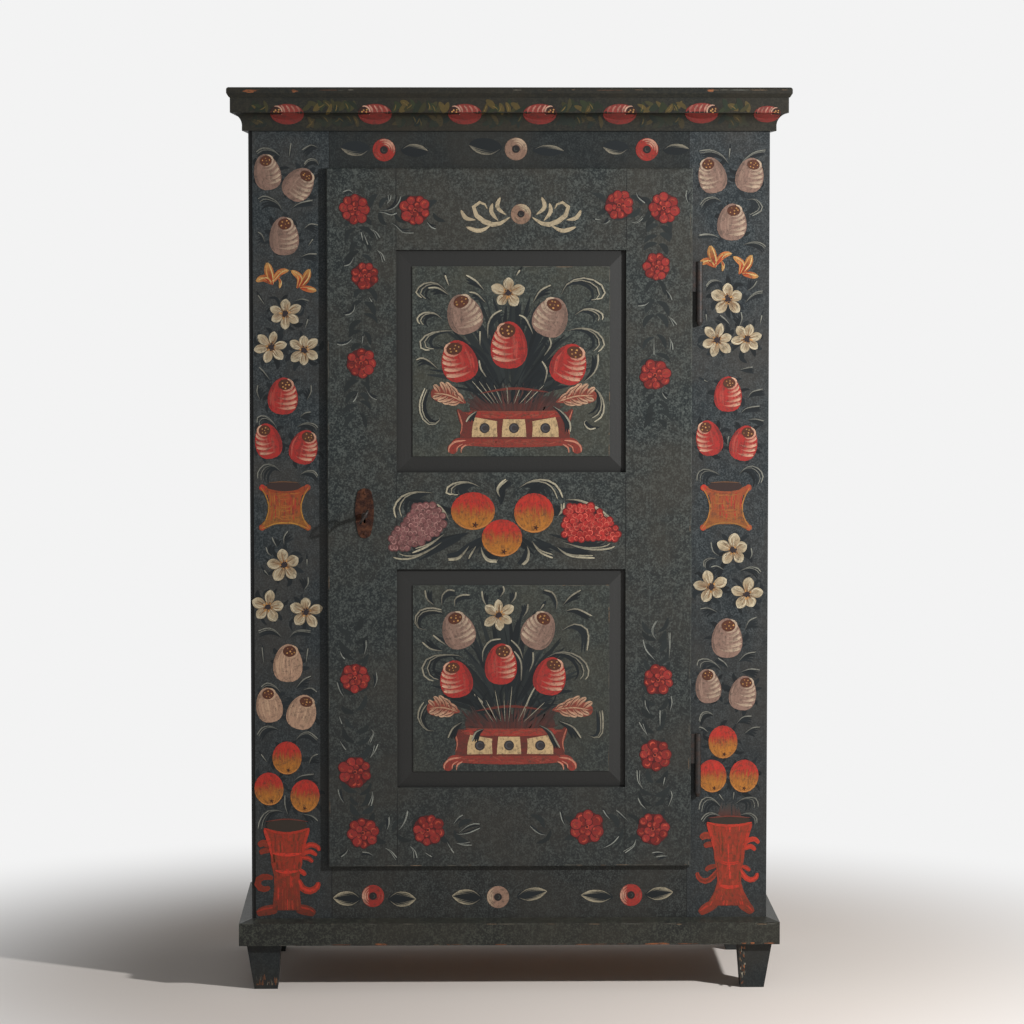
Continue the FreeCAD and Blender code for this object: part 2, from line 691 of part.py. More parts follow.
def door_leaf_plate(which, fit=0.0):
    """The blade let into the door's edge, or with a fit its slot."""
    high = hinge_spans(which)[1]
    thick = LEAF_THICKNESS / 2 + fit
    reach = DOOR_HALF - DOOR_LEAF_REACH
    return block((reach - fit, HINGE_X), (HINGE_Y - thick, HINGE_Y + thick), grown(high, fit))


def frame_leaf_plate(which, fit=0.0):
    """The blade driven into the front of the hinge-side stile, or with a fit its slot."""
    low = hinge_spans(which)[0]
    thick = LEAF_THICKNESS / 2 + fit
    end = FRONT_Y + FRAME_LEAF_REACH + fit
    return block((HINGE_X - thick, HINGE_X + thick), (HINGE_Y, end), grown(low, fit))


def upright(radius, height):
    """A round bar on the hinge's axis over a height span."""
    return rod(radius, (HINGE_X, HINGE_Y, height[0]), (HINGE_X, HINGE_Y, height[1]))


def knuckle(height, plate, bore_height):
    """A hinge leaf: its knuckle round the pin, and its blade."""
    barrel = upright(KNUCKLE_RADIUS, height)
    bore = upright(PIN_RADIUS + HINGE_PIN_FIT, bore_height)
    return joined(barrel, plate).cut(bore)


def hinge_frame_leaf(which):
    """The leaf that stays on the case."""
    height = hinge_spans(which)[0]
    leaf = knuckle(height, frame_leaf_plate(which), grown(height, CUT_OVERRUN))
    return leaf.cut(frame_leaf_nails(PEG_FIT))


def hinge_door_leaf(which):
    """The leaf that swings with the door, closed over the pin's top."""
    height = hinge_spans(which)[1]
    bore_height = (height[0] - CUT_OVERRUN, height[1] - PIN_TOP_SPACE)
    leaf = knuckle(height, door_leaf_plate(which), bore_height)
    return leaf.cut(door_leaf_nails(PEG_FIT))


def hinge_pin(which):
    """The pin, with a turned finial under the frame's knuckle."""
    low = HINGE_BOTTOMS[which]
    top = hinge_spans(which)[1][1] - PIN_TOP_SPACE - HINGE_GAP
    pin = upright(PIN_RADIUS, (low, top))
    tip = Vec(HINGE_X, HINGE_Y, low - PIN_FINIAL)
    finial = Part.makeCone(PIN_RADIUS, KNUCKLE_RADIUS, PIN_FINIAL, tip)
    return joined(pin, finial)


def nail_heights(height):
    """Two heights for the nails through a leaf."""
    middle = (height[0] + height[1]) / 2
    spread = HINGE_NAIL_SPREAD_SHARE * (height[1] - height[0])
    return (middle - spread, middle + spread)


def door_leaf_nails(fit=0.0):
    """Nails through the door's face that pin the blades, or with a fit their holes."""
    x = DOOR_HALF - HINGE_NAIL_INSET
    deep = (DOOR_FRONT_Y, DOOR_FRONT_Y + HINGE_NAIL_LENGTH + fit)
    return [
        through(HINGE_NAIL_RADIUS + fit, x, deep, z)
        for which in HINGE_BOTTOMS
        for z in nail_heights(hinge_spans(which)[1])
    ]


def frame_leaf_nails(fit=0.0):
    """Nails through the stile's inner edge that pin the frame blades, or with a fit their holes."""
    y = FRONT_Y + FRAME_LEAF_REACH / 2
    end = HINGE_X + HINGE_NAIL_LENGTH / 2 + fit
    return [
        rod(HINGE_NAIL_RADIUS + fit, (OPENING_HALF, y, z), (end, y, z))
        for which in HINGE_BOTTOMS
        for z in nail_heights(hinge_spans(which)[0])
    ]


# Lock, key and escutcheon

def keyhole(deep):
    """A keyhole through a span of depth: a round eye over a slot for the bit."""
    eye = through(KEY_SHANK_RADIUS + KEY_FIT, KEY_X, deep, KEY_Z)
    half = KEY_BIT_THICKNESS / 2 + KEY_FIT
    slot = block((KEY_X - half, KEY_X + half), deep, (KEY_Z - KEY_BIT_RADIUS - KEY_FIT, KEY_Z))
    return joined(eye, slot)


def lock_nail_places():
    """X and Z of the nails through the lock plate's flanges."""
    xs = (LOCK_LEFT + LOCK_NAIL_INSET, LOCK_RIGHT - LOCK_NAIL_INSET)
    zs = (LOCK_Z[0] - LOCK_FLANGE / 2, LOCK_Z[1] + LOCK_FLANGE / 2)
    return [(x, z) for x in xs for z in zs]


def lock_nails(fit=0.0):
    """Clout nails that hold the lock to the door's back, or with a fit their holes."""
    nails = []
    for x, z in lock_nail_places():
        seat = LOCK_PLATE_BACK_Y
        shank = through(LOCK_NAIL_RADIUS + fit, x, (seat - LOCK_NAIL_LENGTH - fit, seat), z)
        head = through(LOCK_NAIL_HEAD_RADIUS, x, (seat, seat + LOCK_NAIL_HEAD), z)
        nails.append(joined(shank, head))
    return nails


def lock_plate():
    """The flat plate between the lock's box and the door, with its keyhole."""
    deep = (DOOR_BACK_Y, LOCK_PLATE_BACK_Y)
    plate = block((LOCK_LEFT, LOCK_RIGHT), deep, grown(LOCK_Z, LOCK_FLANGE))
    return plate.cut([keyhole(grown(deep, CUT_OVERRUN))] + lock_nails(PEG_FIT))


def lock_case():
    """The lock's box: walls round the works, a guide post for the bolt and a bearing for the key."""
    outer = block((LOCK_LEFT, LOCK_RIGHT), (LOCK_PLATE_BACK_Y, LOCK_BACK_Y), LOCK_Z)
    inner_x = grown((LOCK_LEFT, LOCK_RIGHT), -LOCK_WALL)
    inner_y = (LOCK_PLATE_BACK_Y - CUT_OVERRUN, LOCK_BACK_Y - LOCK_WALL)
    shell = outer.cut(block(inner_x, inner_y, grown(LOCK_Z, -LOCK_WALL)))
    mouth_x = (LOCK_LEFT - CUT_OVERRUN, LOCK_LEFT + LOCK_WALL + CUT_OVERRUN)
    mouth = block(mouth_x, grown(BOLT_Y, BOLT_FIT), grown(BOLT_Z, BOLT_FIT))
    roof_y = LOCK_BACK_Y - LOCK_WALL
    bearing = through(KEY_SHANK_RADIUS + KEY_FIT, KEY_X, grown((roof_y, LOCK_BACK_Y), CUT_OVERRUN), KEY_Z)
    post = through(GUIDE_RADIUS, GUIDE_X, (LOCK_PLATE_BACK_Y, roof_y), BOLT_MIDDLE_Z)
    return joined(shell.cut([mouth, bearing]), post)


def lock_bolt():
    """The bolt, drawn back into its box: slotted for the guide post, with a talon for the key's bit."""
    tail = LOCK_RIGHT - LOCK_WALL - BOLT_TAIL_SPACE
    bolt = block((LOCK_LEFT, tail), BOLT_Y, BOLT_Z)
    top_turn = 180.0 - KEY_TURNED
    talon_x = KEY_X + top_turn * BOLT_PER_DEGREE
    half = TALON_WIDTH / 2
    deep = grown(BOLT_Y, CUT_OVERRUN)
    talon_z = (BOLT_Z[0] - CUT_OVERRUN, BOLT_Z[0] + TALON_DEPTH)
    talon = block((talon_x - half, talon_x + half), deep, talon_z)
    radius = GUIDE_RADIUS + BOLT_FIT
    reach = (GUIDE_X - BOLT_SLACK, GUIDE_X + BOLT_THROW)
    slot = block(reach, deep, grown((BOLT_MIDDLE_Z, BOLT_MIDDLE_Z), radius))
    ends = [through(radius, x, deep, BOLT_MIDDLE_Z) for x in reach]
    return bolt.cut([talon, joined(slot, *ends)])


def bolt_spring():
    """The leaf spring over the bolt: a foot under the box's roof and a tail that bows down to the bolt."""
    roof = LOCK_Z[1] - LOCK_WALL
    start = LOCK_LEFT + LOCK_WALL + SPRING_FOOT
    knee = start + SPRING_FOOT
    drop = roof - BOLT_Z[1] - BOLT_FIT - SPRING_THICKNESS
    radius = (SPRING_REACH * SPRING_REACH + drop * drop) / (drop + drop)
    turn = math.asin(SPRING_REACH / radius)

    def bow(size):
        def at(angle):
            return Vec(knee + size * math.sin(angle), BOLT_Y[0], roof - radius + size * math.cos(angle))
        return Part.Arc(at(0), at(turn / 2), at(turn)).toShape()

    outer = bow(radius)
    inner = bow(radius - SPRING_THICKNESS)
    tip = Part.makeLine(outer.Vertexes[-1].Point, inner.Vertexes[-1].Point)
    root = Part.makeLine(inner.Vertexes[0].Point, outer.Vertexes[0].Point)
    outline = Part.Wire(Part.__sortEdges__([outer, tip, inner, root]))
    tail = Part.Face(outline).extrude(Vec(0, SPRING_WIDTH, 0))
    foot_y = (BOLT_Y[0], BOLT_Y[0] + SPRING_WIDTH)
    return joined(block((start, knee), foot_y, (roof - SPRING_THICKNESS, roof)), tail)


def key():
    """The key, turned a little in the lock: bit, shank, collar and an oval bow."""
    tip_y = LOCK_BACK_Y
    bow_outer_y = DOOR_FRONT_Y - KEY_STANDOUT
    bow_y = bow_outer_y + KEY_BOW_WIRE_RADIUS + KEY_BOW_RADIUS
    shank_end = bow_y + KEY_BOW_RADIUS
    shank = through(KEY_SHANK_RADIUS, KEY_X, (shank_end, tip_y), KEY_Z)
    collar_y = DOOR_FRONT_Y - ESCUTCHEON_THICKNESS - KEY_COLLAR_SETBACK
    collar = through(KEY_COLLAR_RADIUS, KEY_X, (collar_y - KEY_COLLAR_LENGTH, collar_y), KEY_Z)
    half = KEY_BIT_THICKNESS / 2
    bit_front = LOCK_PLATE_BACK_Y + KEY_BIT_CLEAR
    bit_y = (bit_front, bit_front + KEY_BIT_LENGTH)
    bit = block((KEY_X - half, KEY_X + half), bit_y, (KEY_Z - KEY_BIT_RADIUS, KEY_Z))
    ward_y = bit_y[0] + KEY_BIT_LENGTH / 2
    ward_half = KEY_WARD_SHARE * KEY_BIT_LENGTH / 2
    ward_z = (KEY_Z - KEY_BIT_RADIUS - CUT_OVERRUN, KEY_Z - (KEY_BIT_RADIUS + KEY_SHANK_RADIUS) / 2)
    ward = block(grown((KEY_X, KEY_X), KEY_BIT_THICKNESS), grown((ward_y, ward_y), ward_half), ward_z)
    straight = KEY_BOW_STRAIGHT / 2
    parts = [collar, bit.cut(ward)]
    for end in (-1, 1):
        centre = Vec(KEY_X, bow_y, KEY_Z + end * straight)
        turn = Part.makeTorus(KEY_BOW_RADIUS, KEY_BOW_WIRE_RADIUS, centre, Vec(1, 0, 0))
        reach = KEY_BOW_RADIUS + KEY_BOW_WIRE_RADIUS + CUT_OVERRUN
        keep_z = span(centre.z, centre.z + end * reach)
        keep = block(grown((KEY_X, KEY_X), reach), grown((bow_y, bow_y), reach), keep_z)
        parts.append(turn.common(keep))
        y = bow_y + end * KEY_BOW_RADIUS
        parts.append(rod(KEY_BOW_WIRE_RADIUS, (KEY_X, y, KEY_Z - straight), (KEY_X, y, KEY_Z + straight)))
    whole = joined(shank, *parts)
    whole.rotate(Vec(KEY_X, 0, KEY_Z), Vec(0, 1, 0), KEY_TURNED)
    return whole


def escutcheon():
    """The iron key plate: bowed sides, a round foot and a narrower, flatter head."""
    half = ESCUTCHEON_WIDTH / 2
    neck = half * ESCUTCHEON_NECK_SHARE
    y = DOOR_FRONT_Y
    foot_z = KEY_Z - ESCUTCHEON_BELOW
    head_z = KEY_Z + ESCUTCHEON_ABOVE
    heel_z = foot_z + neck
    shoulder_z = head_z - neck / 2

    def at(x, z):
        return Vec(KEY_X + x, y, z)

    edges = [
        Part.Arc(at(-neck, heel_z), at(0, foot_z), at(neck, heel_z)).toShape(),
        Part.Arc(at(neck, heel_z), at(half, KEY_Z), at(neck, shoulder_z)).toShape(),
        Part.Arc(at(neck, shoulder_z), at(0, head_z), at(-neck, shoulder_z)).toShape(),
        Part.Arc(at(-neck, shoulder_z), at(-half, KEY_Z), at(-neck, heel_z)).toShape(),
    ]
    plate = Part.Face(Part.Wire(edges)).extrude(Vec(0, -ESCUTCHEON_THICKNESS, 0))
    deep = grown((DOOR_FRONT_Y - ESCUTCHEON_THICKNESS, DOOR_FRONT_Y), CUT_OVERRUN)
    return plate.cut([keyhole(deep)] + escutcheon_nails(PEG_FIT))


def escutcheon_nails(fit=0.0):
    """Two round-headed nails through the plate, or with a fit their holes."""
    face = DOOR_FRONT_Y - ESCUTCHEON_THICKNESS
    deep = (face, face + ESCUTCHEON_NAIL_LENGTH + fit)
    plate_z = (KEY_Z - ESCUTCHEON_BELOW, KEY_Z + ESCUTCHEON_ABOVE)
    nails = []
    for z in grown(plate_z, -ESCUTCHEON_NAIL_INSET):
        shank = through(ESCUTCHEON_NAIL_RADIUS + fit, KEY_X, deep, z)
        rise = ESCUTCHEON_NAIL_HEAD
        wide = ESCUTCHEON_NAIL_HEAD_RADIUS
        ball = (wide * wide + rise * rise) / (rise + rise)
        dome = Part.makeSphere(ball, Vec(KEY_X, face - rise + ball, z))
        front = block(grown((KEY_X, KEY_X), ball), (face - ball, face), grown((z, z), ball))
        nails.append(joined(shank, dome.common(front)))
    return nails


def strike_plate():
    """The iron wear plate behind the lock-side stile, where the bolt slides."""
    wide = (-OPENING_HALF - STRIKE_WIDTH, -OPENING_HALF)
    deep = (FRAME_BACK_Y, FRAME_BACK_Y + STRIKE_THICKNESS)
    return block(wide, deep, grown((BOLT_MIDDLE_Z, BOLT_MIDDLE_Z), STRIKE_LENGTH / 2))


# Every piece under its own name

def pieces():
    """All the cupboard's pieces by name."""
    sides = {"left": -1, "right": 1}
    ends = {"front": -1, "back": 1}
    made = {
        "front_rail_top": front_rail("top"),
        "front_rail_bottom": front_rail("bottom"),
        "frame_pegs": group(frame_pegs()),
        "bottom_board": bottom_board(),
        "top_board": top_board(),
        "shelf_cleats": group(shelf_cleat(which, side) for which in SHELF_TOPS for side in (-1, 1)),
        "strike_plate": strike_plate(),
        "hinge_frame_nails": group(frame_leaf_nails()),
        "door_lock_stile": door_stile("lock"),
        "door_hinge_stile": door_stile("hinge"),
        "door_panel_lower": door_panel(LOWER_SIGHT_Z),
        "door_panel_upper": door_panel(UPPER_SIGHT_Z),
        "door_pegs": group(door_pegs()),
        "hinge_door_nails": group(door_leaf_nails()),
        "escutcheon": escutcheon(),
        "escutcheon_nails": group(escutcheon_nails()),
        "lock_plate": lock_plate(),
        "lock_case": lock_case(),
        "lock_nails": group(lock_nails()),
        "lock_bolt": lock_bolt(),
        "bolt_spring": bolt_spring(),
        "key": key(),
    }
    for name, side in sides.items():
        made["side_" + name] = side_board(side)
        made["front_stile_" + name] = front_stile(side)
        for end_name, end in ends.items():
            made["foot_" + end_name + "_" + name] = foot(side, end)
    for run in ("front", "left", "right"):
        made["cornice_" + run] = cornice(run)
        made["plinth_" + run] = plinth(run)
    for index in range(PLANK_COUNT):
        made["back_plank_" + str(index + 1)] = back_plank(index)
    for which in SHELF_TOPS:
        made["shelf_" + which] = shelf(which)
    for which in door_rail_spans():
        made["door_rail_" + which] = door_rail(which)
    for which in HINGE_BOTTOMS:
        made["hinge_" + which + "_frame_leaf"] = hinge_frame_leaf(which)
        made["hinge_" + which + "_door_leaf"] = hinge_door_leaf(which)
        made["hinge_" + which + "_pin"] = hinge_pin(which)
    return made


def main():
    os.makedirs("parts", exist_ok=True)
    for name, shape in sorted(pieces().items()):
        volume = sum(solid.Volume for solid in shape.Solids)
        print(name, "solids", len(shape.Solids), "valid", shape.isValid(), "cm3", round(volume / 1000, 2))
        shape.exportStep("parts/" + name + ".step")


main()
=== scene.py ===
# %% [markdown]
# # A painted farmhouse cupboard
# The cupboard is a plain pine case, and nearly all of its charm is paint: a dark stippled ground
# with flowers, fruit and vases brushed over it. The boards, the hinges and the lock come from the
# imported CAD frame. This lesson adds what CAD leaves out: the aged ground, the brushed ornament with
# its real thickness, the wear, and the light.

# %% Load the frame
import math
import random
import bpy
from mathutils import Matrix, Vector


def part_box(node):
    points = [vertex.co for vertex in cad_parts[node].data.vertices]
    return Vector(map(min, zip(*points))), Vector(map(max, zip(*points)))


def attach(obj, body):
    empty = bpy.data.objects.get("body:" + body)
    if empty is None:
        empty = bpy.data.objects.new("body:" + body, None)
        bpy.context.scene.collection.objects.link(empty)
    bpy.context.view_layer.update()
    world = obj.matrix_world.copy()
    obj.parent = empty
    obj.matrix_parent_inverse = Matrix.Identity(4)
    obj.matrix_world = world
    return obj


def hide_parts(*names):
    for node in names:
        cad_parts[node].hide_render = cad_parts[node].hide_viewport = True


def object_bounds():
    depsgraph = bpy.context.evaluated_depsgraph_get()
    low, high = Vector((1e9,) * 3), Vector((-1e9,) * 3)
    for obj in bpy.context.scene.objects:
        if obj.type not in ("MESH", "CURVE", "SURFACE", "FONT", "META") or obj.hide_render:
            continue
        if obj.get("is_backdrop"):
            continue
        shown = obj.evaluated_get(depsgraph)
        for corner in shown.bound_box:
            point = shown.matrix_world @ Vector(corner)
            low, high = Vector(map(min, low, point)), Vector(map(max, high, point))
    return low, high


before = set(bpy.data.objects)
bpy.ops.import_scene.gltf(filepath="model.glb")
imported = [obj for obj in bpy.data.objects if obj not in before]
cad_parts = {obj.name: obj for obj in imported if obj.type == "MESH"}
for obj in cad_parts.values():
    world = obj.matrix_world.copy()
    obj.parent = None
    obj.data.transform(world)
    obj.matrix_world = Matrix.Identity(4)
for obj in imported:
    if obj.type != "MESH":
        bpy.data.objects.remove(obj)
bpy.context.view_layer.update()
MM = 0.001
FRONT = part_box("front_stile_left")[0].y
DOOR_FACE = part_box("door_rail_top")[0].y
FIELD_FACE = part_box("door_panel_upper")[0].y
print("nodes", len(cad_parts), "case front", round(FRONT, 5), "door face", round(DOOR_FACE, 5))

# %% [markdown]
# ## The camera
# A photograph of a tall piece is taken from far off with a long lens, so that its sides stay almost
# parallel. The camera stands a little to the left of the middle and looks slightly down. Its focal
# length is kept in pixels too, because the same camera later tells where a painted flower sits.

# %% Place the camera
PICTURE = 1024
FOCAL_PIXELS = 3900.0
CAMERA_BACK = 7.952
CAMERA_LEFT = 0.1477
CAMERA_HEIGHT = 1.5899
CAMERA_YAW = math.radians(1.1017)
CAMERA_PITCH = math.radians(4.3403)
SENSOR = 36.0
FARTHEST = 200.0


def linked(name, data):
    """A new object in the scene."""
    made = bpy.data.objects.new(name, data)
    bpy.context.scene.collection.objects.link(made)
    return made


view_data = bpy.data.cameras.new("view")
view_data.sensor_width = SENSOR
view_data.lens = FOCAL_PIXELS / PICTURE * SENSOR
view_data.clip_end = FARTHEST
view = linked("view", view_data)
view.location = (-CAMERA_LEFT, FRONT - CAMERA_BACK, CAMERA_HEIGHT)
view.rotation_euler = (math.radians(90) - CAMERA_PITCH, 0, -CAMERA_YAW)
bpy.context.scene.camera = view
bpy.context.scene.view_settings.view_transform = "Standard"
print("lens", round(view_data.lens, 1), "mm at", [round(v, 3) for v in view.location])


# %% [markdown]
# ## Small helpers for node trees
# Every finish and every stroke of paint is a tree of nodes. One helper adds a node, sets its fields
# and fills its inputs: a number is typed in, and another node's output is linked. Colours are
# written as they look on a screen, from 0 to 255, and turned into the linear values that Blender uses.

# %% Node and colour helpers
def add(tree, kind, values=None, **settings):
    """Adds a node; values go to its inputs, and settings to its own fields."""
    made = tree.nodes.new(kind)
    for field, value in settings.items():
        setattr(made, field, value)
    for name, value in (values or {}).items():
        if isinstance(value, bpy.types.NodeSocket):
            tree.links.new(value, made.inputs[name])
        else:
            made.inputs[name].default_value = value
    return made


def tint(red, green, blue):
    """A screen colour as linear red, green, blue and alpha."""
    def linear(value):
        share = value / 255
        return share / 12.92 if share <= 0.04045 else ((share + 0.055) / 1.055) ** 2.4
    return (linear(red), linear(green), linear(blue), 1.0)


def noise(tree, place, scale, detail=3.0, rough=0.55):
    """A noise pattern's grey value."""
    values = {"Vector": place, "Scale": scale, "Detail": detail, "Roughness": rough}
    return add(tree, "ShaderNodeTexNoise", values).outputs["Fac"]


def stretched(tree, place, scale, turn=(0, 0, 0), shift=(0, 0, 0)):
    """The same place, stretched, turned and shifted, so that a pattern runs along the grain."""
    values = {"Vector": place, "Scale": scale, "Rotation": turn, "Location": shift}
    return add(tree, "ShaderNodeMapping", values).outputs["Vector"]


def between(tree, value, low, high):
    """A value turned into 0 at low and 1 at high, smoothly."""
    values = {"Value": value, "From Min": low, "From Max": high}
    return add(tree, "ShaderNodeMapRange", values, interpolation_type="SMOOTHSTEP").outputs["Result"]


def blend(tree, share, first, second, kind="MIX"):
    """Two colours mixed by a share."""
    values = {0: share, 6: first, 7: second}
    return add(tree, "ShaderNodeMix", values, data_type="RGBA", blend_type=kind).outputs[2]


def sums(tree, operation, first, second):
    """Two numbers put together by a sum."""
    return add(tree, "ShaderNodeMath", {0: first, 1: second}, operation=operation).outputs[0]


def times(tree, first, second):
    """Two numbers multiplied."""
    return sums(tree, "MULTIPLY", first, second)


# %% Helpers for finishes
def finish(name, rough=0.6, metal=0.0, gloss=0.2):
    """A new material with one shader; returns it, its tree, its shader and its object coordinates."""
    material = bpy.data.materials.new(name)
    material.use_nodes = True
    tree = material.node_tree
    shader = tree.nodes["Principled BSDF"]
    shader.inputs["Roughness"].default_value = rough
    shader.inputs["Metallic"].default_value = metal
    shader.inputs["Specular IOR Level"].default_value = gloss
    place = add(tree, "ShaderNodeTexCoord").outputs["Object"]
    return material, tree, shader, place


def relief(tree, shader, height, strength, depth):
    """Gives a shader a bump of some depth."""
    values = {"Height": height, "Strength": strength, "Distance": depth}
    bump = add(tree, "ShaderNodeBump", values)
    tree.links.new(bump.outputs["Normal"], shader.inputs["Normal"])


# %% [markdown]
# ## The painted ground
# The ground is an old oil paint: a blue-black coat, stippled with grey-green while it was wet, and
# browned by smoke and varnish. Three patterns make it. A fine noise gives the stipple, a broad one
# drifts from blue-green to brown, and one stretched along the board leaves the brush's streaks. The
# wood's grain shows through as a shallow bump.

# %% Ground paint
UPRIGHT = (0, 0, 0)
LEVEL = (0, math.radians(90), 0)
RUN_BACK = (math.radians(90), 0, 0)
LEVEL_FACE_SHADE = tint(33, 33, 32)
BOTTOM_DARKENING = tint(37, 37, 36)
BOTTOM_DARKENING_TOP = 1.1
STIPPLE_SCALE = 300
CLUMP_SCALE = 85
SPECK_SCALE = 620
DRIFT_SCALE = 6
STREAKS = (95, 95, 2.4)
FACE_BLUR = 0.3 * MM
GROUND_RELIEF = 0.6 * MM


def ground_paint(name, dark, light, brown, grain, stipple=0.55, rough=0.55, plain=None, plain_face=0.0):
    """Old stippled paint along the grain, darker towards the bottom; what lies behind the plain face has a
    plain colour, with painted shade where it faces up or down.
    """
    material, tree, shader, place = finish(name, rough)
    clump = times(tree, noise(tree, place, CLUMP_SCALE, 3, 0.6), 0.45)
    stippled = noise(tree, place, STIPPLE_SCALE, 4, 0.6)
    dots = between(tree, sums(tree, "ADD", stippled, clump), 0.63, 0.93)
    fine = noise(tree, place, SPECK_SCALE, 2, 0.5)
    drift = between(tree, noise(tree, place, DRIFT_SCALE, 4, 0.6), 0.35, 0.68)
    along = stretched(tree, place, STREAKS, grain)
    streak = noise(tree, along, 1.6, 4, 0.6)
    coat = blend(tree, times(tree, dots, stipple), dark, light)
    coat = blend(tree, times(tree, drift, 0.55), coat, brown)
    pale_streaks = between(tree, streak, 0.58, 0.80)
    coat = blend(tree, times(tree, pale_streaks, 0.30), coat, light)
    speck = between(tree, fine, 0.30, 0.42)
    coat = blend(tree, times(tree, sums(tree, "SUBTRACT", 1.0, speck), 0.55), coat, dark)
    axes = add(tree, "ShaderNodeSeparateXYZ", {0: place}).outputs
    if plain:
        behind = between(tree, axes["Y"], plain_face - FACE_BLUR, plain_face + FACE_BLUR)
        # Plain parts that face up or down, such as the panels' top and bottom bevels, get painted shade.
        facing = add(tree, "ShaderNodeNewGeometry").outputs["Normal"]
        upward = sums(tree, "ABSOLUTE", add(tree, "ShaderNodeSeparateXYZ", {0: facing}).outputs["Z"], 0)
        plain = blend(tree, times(tree, between(tree, upward, 0.02, 0.1), 0.6), plain, LEVEL_FACE_SHADE)
        coat = blend(tree, behind, coat, plain)
    # Towards the bottom, the ground turns darker.
    low = sums(tree, "SUBTRACT", 1.0, between(tree, axes["Z"], BOTTOM_DARKENING_TOP / 3, BOTTOM_DARKENING_TOP))
    coat = blend(tree, times(tree, low, 0.4), coat, BOTTOM_DARKENING)
    tree.links.new(coat, shader.inputs["Base Color"])
    gloss = sums(tree, "ADD", times(tree, dots, 0.16), rough - 0.08)
    tree.links.new(gloss, shader.inputs["Roughness"])
    height = sums(tree, "ADD", times(tree, dots, 0.35), streak)
    relief(tree, shader, height, 0.35, GROUND_RELIEF)
    return material


# %% Mix the ground paints
BLUE_BLACK = tint(30, 36, 39)
GREY_GREEN = tint(91, 97, 93)
SMOKE_BROWN = tint(60, 56, 49)
CASE_TINTS = (BLUE_BLACK, tint(87, 93, 94), tint(62, 58, 53))
DOOR_TINTS = (tint(30, 35, 36), GREY_GREEN, SMOKE_BROWN)
case_paint = ground_paint("case_paint_upright", *CASE_TINTS, UPRIGHT)
rail_paint = ground_paint("case_paint_level", tint(18, 22, 23), tint(96, 102, 99), tint(57, 54, 48), LEVEL)
side_paint = ground_paint("case_paint_side", BLUE_BLACK, tint(76, 82, 81), SMOKE_BROWN, UPRIGHT, 0.4)
door_paint = ground_paint("door_paint_upright", *DOOR_TINTS, UPRIGHT, 0.7)
door_rail_paint = ground_paint("door_paint_level", *DOOR_TINTS, LEVEL, 0.7)
panel_paint = ground_paint("panel_paint", tint(36, 41, 41), tint(96, 103, 97), tint(70, 68, 57), UPRIGHT, 0.6,
                           plain=tint(49, 49, 48), plain_face=FIELD_FACE + 1.1 * MM)
# The left stile's corner rebate, on the side away from the lamp, is painted near black: a painted shadow.
rebate_shadow_paint = ground_paint("case_paint_rebate_shadow", *CASE_TINTS, UPRIGHT, plain=tint(24, 25, 25),
                            plain_face=FRONT + 1.5 * MM)
high_rail_paint = ground_paint("case_paint_high", tint(23, 27, 28), tint(59, 64, 63), tint(46, 44, 39), LEVEL)
CORNICE_TINTS = (tint(27, 28, 25), tint(52, 50, 41), tint(45, 39, 29))
PLINTH_TINTS = (tint(27, 29, 27), tint(92, 95, 84), tint(58, 54, 44))
cornice_paint = ground_paint("moulding_paint", *CORNICE_TINTS, LEVEL, 0.6)
cornice_return_paint = ground_paint("moulding_paint_return", *CORNICE_TINTS, RUN_BACK, 0.6)
plinth_paint = ground_paint("plinth_paint", *PLINTH_TINTS, LEVEL, 0.7)
plinth_return_paint = ground_paint("plinth_paint_return", *PLINTH_TINTS, RUN_BACK, 0.7)
print("ground paints", len(bpy.data.materials))

# %% [markdown]
# ## Bare pine and iron
# Inside and behind, the boards were never painted. Pine left bare for long turns honey brown, with
# dark summer rings that run along the board. The rings are a wave bent by noise, and every plank of
# the back has its own heart, as each was sawn from another place in the tree. The iron is dark and
# dull, and the key plate has rusted to a warm brown.

# %% Bare wood and metal
RING_SCALE = 30.0
FIBRES = (420, 420, 9)
PIT_SCALE = 420
RUST_SCALE = 90
GRAIN_RELIEF = 0.5 * MM
PIT_RELIEF = 0.4 * MM


def bare_wood(name, pale, ring, grain, heart=(0, 0, 0)):
    """Aged bare pine with rings along its grain, round the heart of the tree."""
    material, tree, shader, place = finish(name, 0.72)
    along = stretched(tree, place, (1.0, 1.0, 0.06), grain, [-value for value in heart])
    values = {"Vector": along, "Scale": RING_SCALE, "Distortion": 7.0, "Detail": 4.0, "Detail Scale": 1.2}
    wave = add(tree, "ShaderNodeTexWave", values, wave_type="RINGS", rings_direction="Z")
    rings = between(tree, wave.outputs["Fac"], 0.35, 0.95)
    fibre = noise(tree, stretched(tree, place, FIBRES, grain), 1.0, 3)
    drift = noise(tree, place, 3.5, 3)
    coat = blend(tree, times(tree, rings, 0.42), pale, ring)
    coat = blend(tree, times(tree, between(tree, drift, 0.4, 0.75), 0.5), coat, ring)
    coat = blend(tree, times(tree, between(tree, fibre, 0.5, 0.8), 0.35), coat, ring)
    tree.links.new(coat, shader.inputs["Base Color"])
    relief(tree, shader, sums(tree, "ADD", fibre, rings), 0.3, GRAIN_RELIEF)
    return material


def iron(name, dark, light, rust, amount, metal, rough, shine=0.5):
    """Old iron with rust in patches."""
    material, tree, shader, place = finish(name, rough, metal, shine)
    pits = noise(tree, place, PIT_SCALE, 4, 0.65)
    patch = between(tree, noise(tree, place, RUST_SCALE, 4, 0.6), 0.5 - amount / 2, 0.85 - amount / 2)
    coat = blend(tree, between(tree, pits, 0.35, 0.7), dark, light)
    coat = blend(tree, patch, coat, rust)
    tree.links.new(coat, shader.inputs["Base Color"])
    relief(tree, shader, pits, 0.5, PIT_RELIEF)
    return material


